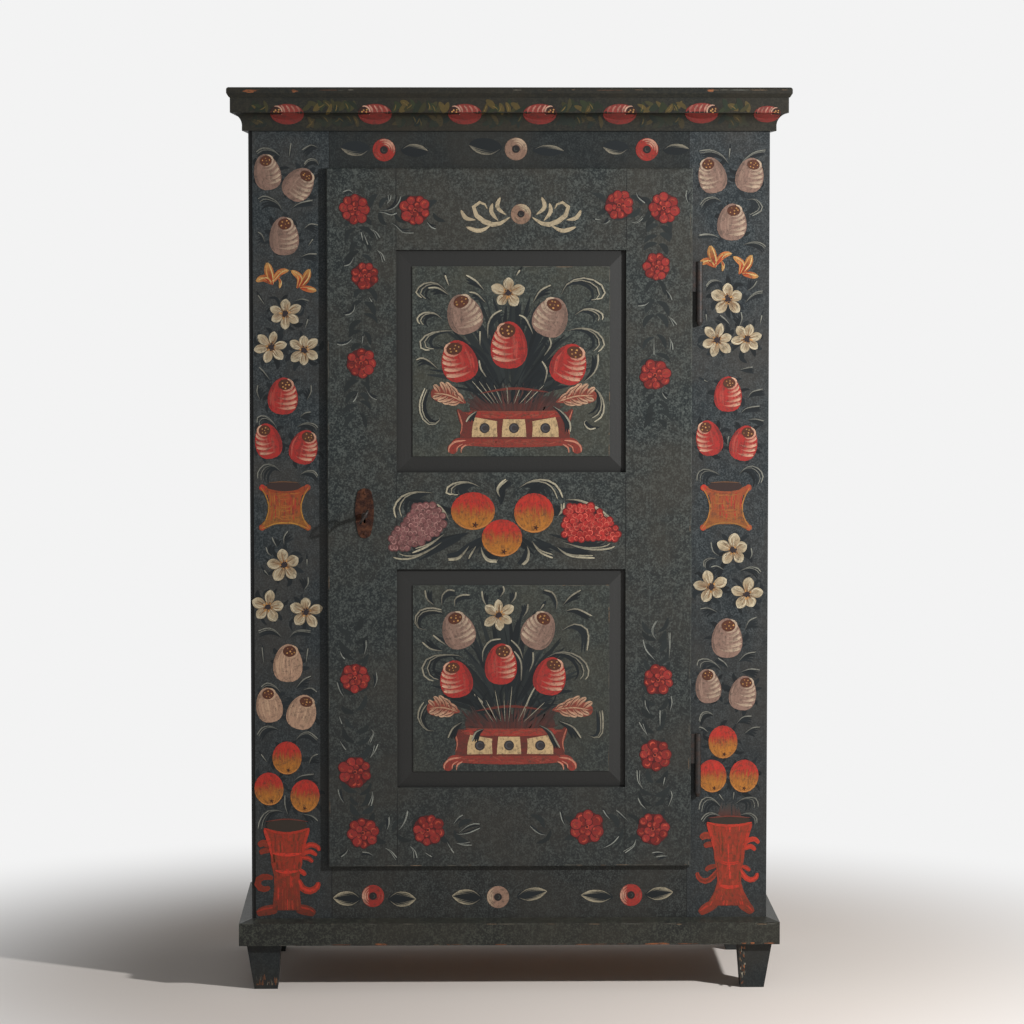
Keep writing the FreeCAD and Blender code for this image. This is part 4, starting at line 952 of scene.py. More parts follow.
def rosette(board, centre, turn=0.0, size=1.0):
    """A round red flower of uneven lobes in two rounds, on a dark red ground."""
    at = turned(centre, turn, size)
    disc(board, at, 0, 0, ROSETTE_RADIUS, ROSETTE_EDGE, 2, size)
    for count, far, lobe in ROSETTE_LOBES:
        for n in range(count):
            spoke = turned(centre, turn + 360 * n / count + roll(-10, 10), size)
            out = far * roll(0.93, 1.07)
            half = lobe * roll(0.8, 1.16)
            layer = 3 + (n + count) % 2
            disc(board, spoke, 0, out, half + 1.3, ROSETTE_EDGE, layer, size)
            disc(board, spoke, 0, out, half, varied(ROSETTE_RED, 0.3), layer + 0.5, size)
            first = roll(0, 120)
            glow = arc(spoke, 0, out, half * 0.5, first, first + roll(90, 200))
            board.stroke(glow, 1.5 * size, varied(ROSETTE_LIGHT, 0.25), 5, 1.2)
    disc(board, at, 0, 0, 4.6, ROSETTE_EDGE, 5.5, size)
    board.stroke(arc(at, 0, 0, 3.2, 20, 340, 9), 1.0 * size, varied(ROSETTE_LIGHT), 6, 0.8)


# %% A ringed flower, and an almond leaf
RING_RADIUS = 23.0
RING_ARCS = ((20.6, -20, 120, 2.2), (16.2, -10, 110, 1.7), (12.0, 0, 100, 1.3), (19.5, 160, 290, 1.0),
             (13.0, 150, 300, 0.9))
RING_HEART = tint(34, 30, 30)
RING_GLINT = tint(60, 63, 58)


def ringed(board, centre, hue, light, size=1.0, turn=0.0):
    """A small flower on a rail: a disc with a dark heart, and light arcs on one side of it."""
    at = turned(centre, -turn, size)
    disc(board, at, 0, 0, RING_RADIUS, varied(hue), 2, size)
    for radius, start, end, half in RING_ARCS:
        paler = 0.0 if end < 150 else 0.75
        hues = [mixed(varied(light), hue, min(1.0, paler + 0.16 * abs(n - 3.5))) for n in range(8)]
        board.stroke(arc(at, 0, 0, radius, start, end, 8), half * size, hues, 3, 1.1)
    disc(board, at, 0, 0, 8.0, RING_HEART, 4, size)
    board.stroke(arc(at, 0, 0, 3.6, 120, 330), 1.0 * size, varied(RING_GLINT), 5, 1.1)


def almond(board, tail, tip, bulge, light, sides):
    """A dark leaf with light strokes along its lower edge, its upper one, or both."""
    reach = (tip[0] - tail[0], tip[1] - tail[1])
    span = math.hypot(*reach)
    level = 1 if reach[0] > 0 else -1
    side = (-level * reach[1] / span, level * reach[0] / span)

    def bowed(amount, start=0.0):
        line = []
        for share in (start, start * 0.7 + 0.3, start * 0.3 + 0.7, 1.0):
            bow = amount * MM * math.sin(math.pi * share)
            line.append(tuple(v + bow * s for v, s in zip(mixed(tail, tip, share), side)))
        return line
    board.stroke(bowed(0), bulge, varied(DARK_LEAF, 0.2), 1, 1.1)
    fading = [mixed(varied(light), GROUND, share) for share in (0.85, 0.35, 0.05, 0.0)]
    for up in sides:
        for depth, half, start in ((0.98, 1.6, 0.05), (0.7, 1.1, 0.25), (0.45, 0.7, 0.4)):
            paler = [mixed(hue, GROUND, 0.9 - 0.9 * depth) for hue in fading]
            half *= roll(0.75, 1.1)
            board.stroke(bowed(up * bulge * depth, start), half, paler, 2, 1.0, 1.3)


print("motifs ready")

# %% [markdown]
# ## Leaves and scrolls
# Between the flowers run dark leaves, hardly seen on the dark ground, and light strokes that catch
# the eye. A scroll here is a light stroke that fades from its tip to its root, with a few dark blades
# beside it on its hollow side. A garland is a run of paired leaves, some of them edged with light.

# %% Scrolls and garlands
SHADE_LEAF = tint(34, 38, 38)
BLADE_GAP = 4.6
SCROLL_SWELL = 0.68


def hollow(line, gap, shrink=1.0):
    """A line that runs from its tip to its root, moved towards its hollow side, most at its tip."""
    root = line[-1]
    chord = [(line[0][n] + root[n]) / 2 - line[len(line) // 2][n] for n in (0, 1)]
    depth = math.hypot(*chord) or 1.0
    places = []
    for n, place in enumerate(line):
        away = gap * MM * (1 - n / (len(line) - 1)) / depth
        places.append(tuple(v + c * away for v, c in zip(mixed(root, place, shrink), chord)))
    return places


def blades(board, line, count, half, layer):
    """Dark blades on the hollow side of a line."""
    for k in range(count):
        blade = hollow(line, (k + 0.4) * BLADE_GAP, 1 - 0.1 * k)
        board.stroke(blade, half * roll(0.8, 1.2), varied(DARK_LEAF, 0.3), layer, 1.3)


def scroll(board, pixels, heart=None, half=1.7, hue=DULL_CREAM, count=3, layer=1.0, fade=0.7, twin=0.0):
    """A light stroke, read off the photograph, that fades to its root near the heart; it may have a twin."""
    line = board.trail(pixels)
    if heart and math.dist(line[0], heart) < math.dist(line[-1], heart):
        line.reverse()
    blades(board, line, count, half * 1.9, layer - 0.5)
    last = len(line) - 1
    light = varied(hue, 0.2)
    hues = [mixed(light, GROUND, fade * n / last) for n in range(last + 1)]
    board.stroke(line, half, hues, layer, 1.0, SCROLL_SWELL)
    if twin:
        paler = [mixed(hue, GROUND, 0.25) for hue in hues]
        board.stroke(hollow(line, twin, 0.9), half * 0.7, paler, layer, 1.1, SCROLL_SWELL)


# %% Dark leaves behind the flowers
def collar(board, centre, radius, count=9):
    """Dark leaves that stand out from behind a flower, kept clear of the board's edges."""
    for n in range(count):
        at = turned(centre, 360 * (n + roll(-0.3, 0.3)) / count)
        reach = radius * roll(1.1, 1.5)
        half = roll(3.0, 6.0)
        bend, end = roll(-5, 5), roll(-12, 12)
        leaf = along(at, (0, radius * 0.4), (bend, reach * 0.8), (end, reach))
        low, high = board.span[0] + half * MM, board.span[1] - half * MM
        leaf = [(min(max(x, low), high), z) for x, z in leaf]
        board.stroke(leaf, half, varied(DARK_LEAF, 0.35), 0, 1.4)


def undergrowth(board, heart, wide, high, count):
    """Dark blades that fan out from a planter's mouth behind the whole bouquet."""
    at = turned(heart)
    for n in range(count):
        turn = math.radians(12 + 156 * (n + roll(0, 1)) / count)
        far = roll(0.45, 1.0)
        tip = (wide * far * math.cos(turn), high * far * math.sin(turn))
        bend = (tip[0] * 0.62 + roll(-9, 9), tip[1] * 0.7 + roll(0, 10))
        blade = along(at, (tip[0] * 0.25, tip[1] * 0.3), bend, tip)
        hue = varied(chance.choice((DARK_LEAF, SHADE_LEAF)), 0.3)
        board.stroke(blade, roll(2.5, 5.5), hue, 0, 1.3)


def garland(board, start, end, leaves=5):
    """A run of dark paired leaves between two places."""
    at, span = leaning(start, end)
    for n in range(leaves):
        for side in (-1, 1):
            rise = span * (n + roll(0.1, 0.6)) / leaves
            out = side * roll(16, 32)
            up = roll(14, 32)
            leaf = along(at, (side * 2, rise), (out * 0.7, rise + up * 0.3), (out, rise + up))
            board.stroke(leaf, roll(4.0, 6.5), varied(SHADE_LEAF, 0.2), 0, 1.5)


# %% [markdown]
# ## Vases and bunches
# The vases are bigger shapes, but the brush still does it: a stroke pulled from foot to rim, whose
# half width changes on the way, gives the whole body. Bands, feet, handles and highlights are laid
# over it. A bunch of grapes is many round dabs packed inside an outline, each with a light ring.

# %% A planter with a row of squares
PLANTER_BODY = ((28, 114), (46, 110), (66, 108), (86, 110))
PLANTER_MOUTH = ((82, 84), (94, 92), (106, 90), (118, 80))
PLANTER_SQUARES = ((-62, 25.0), (-2, 24.0), (62, 26.0))
TERRACOTTA = tint(97, 46, 40)
LIGHT_TERRACOTTA = tint(130, 63, 51)
FLANGE = tint(127, 52, 44)
LIP_RED = tint(140, 52, 44)
BRIM_RED = tint(98, 45, 38)
CURL_LIGHT = tint(186, 124, 102)
HORN_LIGHT = tint(176, 104, 84)
SQUARE_CREAM = tint(182, 155, 116)
SQUARE_EYE = tint(50, 46, 46)
SQUARE_RING = tint(70, 70, 74)
MOUTH_STREAKS = 110
FLANGE_STREAKS = 30
FOOT_CURLS = (
    (((135, 3), (134, 15), (122, 25), (100, 28)), 2.0),
    (((110, 2), (108, 13), (97, 20)), 1.7),
    (((119, 4), (117, 14), (106, 21)), 1.1),
)
MOUTH_HUES = [tint(88, 44, 39), tint(74, 43, 39), tint(62, 43, 40), tint(52, 44, 42)]


def planter_corner(board, at):
    """One end of a planter: its rolled foot below and its horn above."""
    foot = along(at, (96, 24), (116, 23), (128, 14))
    board.stroke(foot, [8, 10, 9], varied(FLANGE), 3, 0.5)
    disc(board, at, 127, 11, 10.5, varied(FLANGE), 3)
    for points, half in FOOT_CURLS:
        board.stroke(along(at, *points), half, varied(CURL_LIGHT, 0.15), 4, 1.1)
    horn = along(at, (104, 58), (107, 74), (117, 92))
    board.stroke(horn, [9, 8, 5], varied(TERRACOTTA), 3, 0.8)
    glint = along(at, (112, 40), (108, 60), (117, 90))
    board.stroke(glint, 1.6, varied(HORN_LIGHT), 4, 1.2)


# %% The whole planter
def planter(board, centre):
    """A long footed planter, drawn up from the middle of its foot line."""
    at = turned(centre)
    pulled(board, at, PLANTER_MOUTH, MOUTH_HUES, 0.5)
    for n in range(MOUTH_STREAKS):
        x = roll(-90, 90)
        top = roll(108, 150) - 0.2 * abs(x)
        streak = along(at, (x * 0.8, 86), (x * 0.95, (86 + top) / 2), (x * 1.15, top))
        hues = [varied(MOUTH_HUES[k], 0.25) for k in (n % 3, 1 + n % 2, 3)]
        board.stroke(streak, roll(1.2, 2.6), hues, 0.5 + n // 37 / 2, 1.4)
    board.stroke(along(at, (-72, 124), (-2, 134), (70, 126)), 2.6, varied(BRIM_RED), 2, 1.3)
    pulled(board, at, PLANTER_BODY, TERRACOTTA, 2)
    board.stroke(along(at, (-96, 81), (0, 79), (96, 81)), 7.0, varied(LIP_RED), 3, 0.3)
    board.stroke(along(at, (-94, 88), (0, 86), (94, 88)), 1.5, varied(LIGHT_TERRACOTTA), 4, 0.6)
    board.stroke(along(at, (-118, 25), (0, 22), (118, 25)), 8.5, varied(FLANGE), 3, 0.3)
    for side in (-1, 1):
        planter_corner(board, mirrored(at, side))
    for x, half in PLANTER_SQUARES:
        slant = 3.0 * x / 62
        box = along(at, (x, 35), (x, 53), (x - slant, 71))
        board.stroke(box, [half + 1, half, half - 2], varied(SQUARE_CREAM, 0.06), 4, 0)
        disc(board, at, x, 53, 10.4, SQUARE_EYE, 5)
        board.stroke(arc(at, x, 53, 6.5, 30, 320, 8), 1.5, SQUARE_RING, 6, 1.0)
    for _ in range(FLANGE_STREAKS):
        x = roll(-100, 100)
        for low, high in ((16, 31), (74, 86)):
            streak = along(at, (x - 9, roll(low, high)), (x + 9, roll(low, high)))
            board.stroke(streak, 1.2, varied(LIGHT_TERRACOTTA, 0.3), 4, 1.4)


# %% A curled leaf at a planter's corner
LEAF_RED = tint(126, 60, 49)
LOBE_HUES = (tint(134, 66, 53), tint(150, 84, 66), tint(188, 156, 128))
LOBE_LINE = tint(92, 56, 47)
RIB_LIGHT = tint(178, 140, 112)


def acanthus(board, base, tip, spread=17.0):
    """A jagged leaf, red brown below, with lobes that turn pale where the light strikes."""
    at, span = leaning(base, tip)
    over = 1 if tip[0] < base[0] else -1
    leaf = along(at, (0, 0), (over * 5, span * 0.45), (-over * 2, span * 0.97))
    board.stroke(leaf, [6, spread, spread * 0.9], varied(LEAF_RED), 2, 0.7, 1.2)
    for n in range(9):
        share = n / 8
        side = over if n % 2 == 0 else -over
        root = (over * 5 * math.sin(math.pi * share * 0.8), span * (0.08 + 0.66 * share))
        out = spread * (1.25 if side == over else 0.95) * (0.62 + 0.5 * math.sin(math.pi * share))
        bend = (root[0] + side * out * 0.62, root[1] + span * 0.10)
        end = (root[0] + side * out, root[1] + span * (0.30 - 0.08 * share))
        light = varied(LOBE_HUES[2], 0.15)
        hues = [LOBE_HUES[0], mixed(light, LOBE_HUES[1], 0.45), light]
        board.stroke(along(at, root, bend, end), roll(4.2, 5.6), hues, 3, 1.0, 1.2)
        board.stroke(along(at, root, bend, end), 0.9, varied(LOBE_LINE, 0.3), 4, 1.2)
    rib = along(at, (0, 4), (over * 5, span * 0.5), (0, span * 0.9))
    board.stroke(rib, 1.3, varied(RIB_LIGHT), 4.5, 1.2)


# %% A basket
BASKET_BODY = ((12, 39), (25, 35), (46, 31), (68, 34), (85, 41))
BASKET_RED = tint(156, 54, 42)
BASKET_MOUTH = tint(52, 40, 37)
BASKET_BRIM = tint(104, 72, 48)
BASKET_KNOBS = ((-1, tint(172, 54, 42)), (1, tint(150, 66, 44)))
BASKET_RIBS = 34
BASKET_BANDS = 16


def basket(board, centre, clay, warm, edge):
    """A waisted basket with drawn-out corners, drawn up from the middle of its foot line."""
    at = turned(centre)
    pulled(board, at, BASKET_BODY, [warm, warm, clay, clay, clay], 2)
    for side in (-1, 1):
        for low, high, hue in (((30, 18), (49, 3), warm), ((32, 76), (47, 89), clay)):
            board.stroke(along(mirrored(at, side), low, high), [10, 5], varied(hue), 2, 0.4)
    for n in range(BASKET_RIBS):
        share = roll(-0.95, 0.95)
        start = roll(14, 60)
        rib = along(at, *((share * (32 + 0.004 * (y - 48) ** 2), y) for y in (start, start + 12, start + 26)))
        hue = mixed(mixed(warm, clay, start / 70), edge, roll(0, 0.5)) if n % 3 else BASKET_RED
        board.stroke(rib, roll(1.0, 1.9), varied(hue, 0.15), 3, 1.3)
    for _ in range(BASKET_BANDS):
        y = roll(18, 82)
        x = roll(-18, 18)
        band = along(at, (x - 14, y + 1), (x, y - 1), (x + 14, y + 1))
        board.stroke(band, 1.2, varied(mixed(clay, edge, roll(0.1, 0.6)), 0.15), 3.5, 1.3)
    board.stroke(along(at, (-37, 90), (-3, 88), (33, 90)), 10.5, BASKET_MOUTH, 4, 0.9)
    board.stroke(along(at, (-42, 86), (-20, 79), (0, 77), (20, 79), (42, 86)), 2.4, varied(clay), 4.5, 0.8)
    board.stroke(along(at, (-34, 97), (-3, 99), (30, 97)), 0.9, varied(BASKET_BRIM), 4.5, 1.0)
    for side, hue in BASKET_KNOBS:
        disc(board, at, side * 46, 87, 6.4, varied(hue), 4)
        disc(board, at, side * 47, 5, 6.2, varied(mixed(hue, warm, 0.4)), 4)
    for side in (-1, 1):
        rim = along(mirrored(at, side), (50, 89), (39, 71), (32.5, 47), (38, 22), (51, 2))
        board.stroke(rim, 1.5, varied(edge, 0.2), 4, 0.9)
    board.stroke(along(at, (-48, 3), (-20, 13), (0, 15), (20, 13), (48, 3)), 1.6, varied(edge, 0.2), 4, 0.9)


# %% The shapes of the two urns
LEFT_VASE = {
    "body": ((14, 30), (35, 28), (60, 26), (84, 26), (99, 30), (113, 32), (133, 33), (157, 35), (175, 43),
             (184, 47)),
    "bands": ((131, 30, 3.4), (95, 24, 3.2)),
    "bright": (
        (((30, 138), (48, 150), (64, 145), (66, 137)), 5.5), (((30, 130), (48, 136), (62, 128)), 4.8),
        (((28, 124), (44, 122), (54, 114)), 4.8), (((24, 98), (34, 92), (38, 86)), 5.0),
        (((24, 78), (32, 60), (48, 54), (62, 62), (65, 73)), 7.2),
    ),
    "dull": (
        (((-28, 81), (-46, 84), (-58, 78), (-60, 68), (-54, 60), (-43, 58), (-35, 63)), 7.0),
        (((-34, 148), (-48, 154), (-58, 148)), 7.0), (((-34, 138), (-46, 138), (-56, 133)), 6.0),
    ),
    "feet": (((-20, 17), (-46, 13), (-62, 7)), ((20, 18), (46, 12), (57, 5))),
    "mouth": (190, 13.5),
    "fan": 0,
}
RIGHT_VASE = {
    "body": ((22, 47), (32, 41), (46, 33), (58, 28), (76, 24), (92, 25), (111, 30), (127, 31), (150, 34),
             (174, 42), (194, 47)),
    "bands": ((113, 20, 1.6), (109, 19, 1.4), (62, 20, 4.0)),
    "bright": (
        (((28, 148), (40, 158), (53, 160), (61, 151)), 5.2), (((28, 139), (44, 145), (54, 137)), 5.2),
        (((22, 98), (33, 81), (46, 75), (56, 81), (58, 90)), 5.6), (((26, 104), (36, 100), (43, 94)), 4.6),
    ),
    "dull": (
        (((-22, 97), (-39, 77), (-53, 73), (-64, 82), (-66, 92)), 5.6),
        (((-27, 105), (-42, 101), (-48, 94)), 5.0),
        (((-34, 166), (-50, 168), (-59, 161)), 7.5), (((-32, 149), (-44, 149), (-52, 145)), 6.0),
    ),
    "feet": (((-26, 28), (-49, 15), (-61, 6)), ((22, 28), (40, 16), (48, 6))),
    "mouth": (199, 9.0),
    "fan": 22,
}
print("urn heights", [form["body"][-1][0] for form in (LEFT_VASE, RIGHT_VASE)], "mm")

# %% An urn with curled handles
URN_CLAY = tint(140, 51, 36)
URN_LIGHT = tint(184, 54, 40)
URN_OLIVE = tint(108, 58, 36)
URN_SHADE = tint(106, 45, 34)
URN_MOUTH = tint(48, 41, 35)
URN_BRIM = tint(104, 50, 41)
FAN_HUES = (tint(84, 47, 40), tint(70, 48, 44))
URN_STREAKS = 84


def urn(board, centre, form, shade):
    """A tall urn on two spread feet, drawn up from the middle of its foot line; below, it is shaded."""
    at = turned(centre)
    body = form["body"]
    for side, hue in (("bright", URN_LIGHT), ("dull", mixed(URN_SHADE, URN_CLAY, 0.4))):
        for points, half in form[side]:
            board.stroke(along(at, *points), half, varied(mixed(hue, URN_CLAY, 0.6), 0.2), 2, 0.5)
            board.stroke(along(at, *points), half * 0.4, varied(hue, 0.15), 3, 0.9)
    for points in form["feet"]:
        board.stroke(along(at, *points), [11, 10, 8.5], varied(shade), 2, 0.4)
        toe = along(at, *((x, y + 4) for x, y in points))
        board.stroke(toe, 2.0, varied(mixed(shade, URN_LIGHT, 0.5)), 3, 1.2)
    tones = [mixed(shade, URN_CLAY, min(1.0, n / 4)) for n in range(len(body))]
    pulled(board, at, body, tones, 3)
    for n in range(URN_STREAKS):
        low, high = body[n % (len(body) - 1)], body[n % (len(body) - 1) + 1]
        share = roll(-0.9, 0.9)
        line = along(at, (share * low[1], low[0]), (share * high[1], high[0] + 2))
        lit = max(0.0, 1 - abs(share) / 0.4) if low[0] > 70 else 0.2
        hue = mixed(mixed(URN_OLIVE, shade, chance.random()), URN_LIGHT, max(lit, chance.random() ** 3))
        board.stroke(line, roll(0.9, 2.2), varied(hue, 0.2), 3.5 + n % 3 / 2, 1.3)
    for y, half, thick in form["bands"]:
        band = along(at, (-half, y + 2), (0, y - 2), (half, y + 1))
        board.stroke(band, thick, varied(URN_LIGHT, 0.15), 5, 0.9)
    rise, deep = form["mouth"]
    tip, low = rise - 0.4 * deep, rise - 1.2 * deep
    for side in (-1, 1):
        edge = along(mirrored(at, side), (46, tip - 2), (37, tip - 28), (31, tip - 58))
        board.stroke(edge, [4.0, 3.4, 2.4], varied(mixed(URN_LIGHT, URN_CLAY, 0.3), 0.12), 5, 0.7)
    for n in range(form["fan"]):
        x = roll(-26, 26)
        streak = along(at, (x, rise), (x * 0.85, rise + 16), (x * 0.7, rise + roll(24, 40)))
        hues = [varied(FAN_HUES[0]), FAN_HUES[1], GROUND]
        board.stroke(streak, roll(1.2, 2.4), hues, 0.5 + n % 2 / 2, 1.4)
    board.stroke(along(at, (-42, rise + 1), (0, rise - 2), (42, rise + 1)), deep, URN_MOUTH, 5.5, 0.9)
    rim = along(at, (-47, tip), (-24, (tip + low) / 2 - 2), (0, low), (24, (tip + low) / 2 - 2), (47, tip))
    board.stroke(rim, 2.8, varied(mixed(URN_LIGHT, URN_CLAY, 0.4)), 6, 0.7)
    brim = along(at, (-44, rise + deep * 0.6), (0, rise + deep), (44, rise + deep * 0.6))
    board.stroke(brim, 1.2, varied(URN_BRIM), 6, 1.0)


# %% A bunch of grapes or berries
GRAPE_RADIUS = 6.6


def inside(outline, x, y):
    """True where a point lies inside a closed outline."""
    found = False
    for (ax, ay), (bx, by) in zip(outline, outline[1:] + outline[:1]):
        if (ay > y) != (by > y) and x < ax + (y - ay) * (bx - ax) / (by - ay):
            found = not found
    return found


def bunch(board, pixels, flesh, light, ground):
    """Round dabs packed inside an outline, each with an open light ring."""
    outline = board.trail(pixels)
    low, high = (tuple(pick(p[n] for p in outline) for n in (0, 1)) for pick in (min, max))
    row_step = 1.4 * GRAPE_RADIUS * MM
    column_step = 1.66 * GRAPE_RADIUS * MM
    rows = int((high[1] - low[1]) / row_step) + 1
    for row in range(rows):
        start = low[0] + (row % 2) * column_step / 2
        lift = 0.5 * (row % 2)
        for n in range(int((high[0] - start) / column_step) + 1):
            right = start + n * column_step + roll(-2.2, 2.2) * MM
            up = high[1] - row * row_step + roll(-2.2, 2.2) * MM
            if not inside(outline, right, up):
                continue
            at = turned((right, up))
            radius = GRAPE_RADIUS * roll(0.82, 1.1)
            disc(board, at, 0, 0, radius * 1.25, varied(ground), 1.5 + lift)
            disc(board, at, 0, 0, radius * 0.95, varied(flesh, 0.25), 2.5 + lift)
            first = roll(0, 360)
            ring = arc(at, 0, 0, radius * 0.66, first, first + roll(200, 310), 8)
            board.stroke(ring, roll(0.6, 1.0), varied(light, 0.3), 3.5 + lift, 0.9)


print("vases, bunches and leaves ready")

# %% [markdown]
# ## The pilasters
# Each pilaster tells the same story from top to bottom: buds, lilies, star flowers and red buds grow
# out of a basket, and stars, buds and apples out of an urn. The painter never drew two alike, so each
# flower has its own place and tilt, read off the photograph, and so has each thin arc between them.

# %% The left pilaster's plan
LEFT_PILASTER = {
    "buds": (
        (267, 172, -12, 1, MAUVE_BUD, 0.98, 1.0), (299, 184, 36, 1, MAUVE_BUD, 1.08, 0.88),
        (284, 236, -2, 1, MAUVE_BUD, 1.08, 0.97), (283, 396, 4, 1, RED_BUD, 1.1, 0.92),
        (268, 441, -12, -1, RED_BUD, 0.98, 1.0), (304, 447, 16, 1, RED_BUD, 1.03, 0.92),
        (288, 663, 2, 1, PLAIN_BUD, 1.08, 0.97), (269, 705, -10, 1, PLAIN_BUD, 0.97, 1.0),
        (302, 712, 16, 1, PLAIN_BUD, 1.08, 0.9),
    ),
    "lilies": ((271, 276, LILY_SPRUNG), (303, 280, LILY_WIDE)),
    "stars": (
        (285, 314, 0, 6), (271, 347, 14, 6), (304, 350, -4, 6), (284, 565, -8, 5), (268, 607, 10, 5),
        (306, 612, -2, 5),
    ),
    "apples": ((287, 758, 0), (269, 789, -6), (305, 796, 8)),
    "basket": (285, 530),
    "urn": (287, 917),
    "arcs": (
        ((302, 150), (311, 145), (318, 148)), ((304, 164), (309, 159), (316, 160), (319, 166)),
        ((291, 143), (290, 150), (289, 158)), ((256, 152), (263, 148), (273, 150), (281, 157)),
        ((258, 199), (264, 196), (273, 199), (279, 204), (282, 211)), ((313, 200), (300, 203), (292, 208)),
        ((318, 225), (310, 224), (304, 229)), ((258, 232), (262, 235), (265, 242)),
        ((317, 254), (308, 254), (301, 257)), ((313, 239), (308, 246)), ((309, 301), (302, 299), (295, 301)),
        ((308, 319), (305, 329)), ((258, 295), (262, 301), (265, 305)), ((259, 367), (264, 372), (270, 380)),
        ((258, 385), (257, 392), (260, 400)), ((311, 385), (311, 392), (307, 400)),
        ((311, 412), (305, 413), (300, 417)), ((257, 423), (258, 417), (265, 416), (273, 422), (277, 429)),
        ((318, 428), (314, 424), (305, 423), (297, 427)),
        ((258, 479), (258, 472), (264, 465), (273, 465), (282, 473)),
        ((318, 476), (314, 471), (306, 471), (300, 475)), ((288, 531), (284, 537), (284, 545)),
        ((272, 537), (274, 542), (277, 547)), ((266, 547), (268, 553), (272, 556)), ((307, 559), (307, 566)),
        ((264, 570), (269, 576)), ((308, 577), (308, 584), (304, 590)),
        ((258, 631), (268, 628), (276, 631), (282, 638)), ((311, 631), (301, 630), (294, 632), (289, 638)),
        ((262, 647), (263, 657), (264, 664)), ((308, 648), (306, 663)), ((311, 676), (303, 680), (296, 688)),
        ((261, 687), (267, 683), (275, 686), (281, 693)), ((317, 692), (311, 688), (303, 690)),
        ((257, 735), (262, 728), (270, 726), (279, 730)), ((318, 739), (309, 732), (301, 734), (296, 740)),
        ((318, 754), (312, 757), (309, 764)), ((261, 754), (267, 762)), ((314, 774), (301, 776), (294, 781)),
        ((258, 829), (260, 820), (266, 812), (275, 810), (284, 812)), ((285, 795), (285, 805), (288, 815)),
        ((318, 821), (312, 816), (303, 814)),
    ),
    "wicker": (tint(146, 68, 41), tint(138, 86, 42), tint(162, 114, 52)),
    "vase": LEFT_VASE,
    "shade": URN_SHADE,
}
print("left arcs", len(LEFT_PILASTER["arcs"]), "buds", len(LEFT_PILASTER["buds"]))

# %% The right pilaster's plan
RIGHT_PILASTER = {
    "buds": (
        (712, 175, -14, -1, MAUVE_BUD, 1.03, 0.96), (750, 175, 12, 1, MAUVE_BUD, 1.03, 0.92),
        (732, 222, 2, 1, MAUVE_BUD, 1.08, 0.93), (728, 394, 0, 1, RED_BUD, 1.02, 0.95),
        (709, 438, -12, -1, RED_BUD, 0.98, 1.0), (744, 443, 14, 1, RED_BUD, 1.02, 0.96),
        (727, 638, 0, 1, MAUVE_BUD, 1.14, 0.96), (708, 686, -8, 1, MAUVE_BUD, 0.95, 1.0),
        (743, 693, 10, 1, MAUVE_BUD, 1.0, 0.96),
    ),
    "lilies": ((714, 259, LILY_SPRUNG), (745, 266, LILY_WIDE)),
    "stars": (
        (728, 299, 0, 5), (717, 340, 14, 6), (747, 339, 20, 6), (733, 550, 2, 5), (711, 587, -14, 5),
        (747, 594, 4, 5),
    ),
    "apples": ((723, 742, 0), (712, 776, -4), (744, 776, 6)),
    "basket": (726, 530),
    "urn": (729, 916),
    "arcs": (
        ((699, 151), (711, 150), (722, 155), (729, 164)), ((766, 150), (755, 152), (745, 159), (739, 167)),
        ((730, 148), (729, 159)), ((700, 205), (705, 199), (714, 197), (722, 202)),
        ((752, 216), (762, 210), (761, 204), (755, 199), (746, 200)),
        ((699, 235), (706, 234), (714, 235), (719, 238)), ((766, 247), (761, 243), (752, 242), (743, 245)),
        ((706, 286), (710, 281), (716, 280), (721, 282)), ((763, 291), (757, 292), (751, 296), (745, 303)),
        ((757, 281), (753, 287), (747, 291)), ((706, 314), (707, 322)), ((720, 315), (726, 320), (730, 325)),
        ((741, 312), (742, 319), (739, 327)), ((762, 315), (760, 324)), ((753, 367), (746, 368), (740, 370)),
        ((763, 389), (752, 392), (748, 398)), ((760, 406), (747, 408), (741, 413)),
        ((764, 421), (755, 419), (748, 420)), ((704, 380), (708, 382)), ((729, 436), (728, 440), (728, 446)),
        ((697, 481), (698, 473), (705, 469), (715, 472), (721, 476)),
        ((761, 483), (763, 476), (760, 470), (753, 466), (745, 468), (739, 475)),
        ((711, 542), (713, 551), (719, 556)), ((751, 548), (752, 554), (750, 559)),
        ((704, 567), (704, 561), (710, 558), (717, 559)), ((711, 567), (717, 566), (724, 570)),
        ((761, 572), (757, 568), (749, 567), (740, 571)), ((700, 609), (708, 608), (717, 612)),
        ((757, 617), (749, 621), (745, 630)), ((756, 652), (746, 654), (738, 662)),
        ((697, 666), (699, 660), (707, 659), (715, 663), (722, 671)), ((718, 658), (725, 663), (728, 668)),
        ((760, 670), (750, 669), (741, 672)), ((699, 721), (702, 713), (709, 712), (714, 716)),
        ((752, 716), (743, 717), (737, 723)), ((760, 727), (752, 728), (744, 734)),
        ((699, 727), (703, 728), (708, 732)), ((699, 810), (701, 801), (708, 797), (716, 801), (722, 809)),
        ((758, 807), (758, 803), (755, 798), (744, 798), (734, 805)),
        ((701, 820), (706, 814), (713, 813), (722, 817)), ((757, 823), (756, 817), (749, 813), (740, 815)),
        ((719, 794), (724, 801)), ((734, 792), (733, 800)),
    ),
    "wicker": (tint(141, 72, 45), tint(137, 82, 45), tint(160, 108, 56)),
    "vase": RIGHT_VASE,
    "shade": mixed(URN_SHADE, URN_CLAY, 0.4),
}
print("right arcs", len(RIGHT_PILASTER["arcs"]), "buds", len(RIGHT_PILASTER["buds"]))

# %% Paint both pilasters
COLLAR_RADIUS = 32.0
EDGE_CLEAR = 9.5 * MM
ARC_HALF = 1.2
ARC_TWIN = 4.5


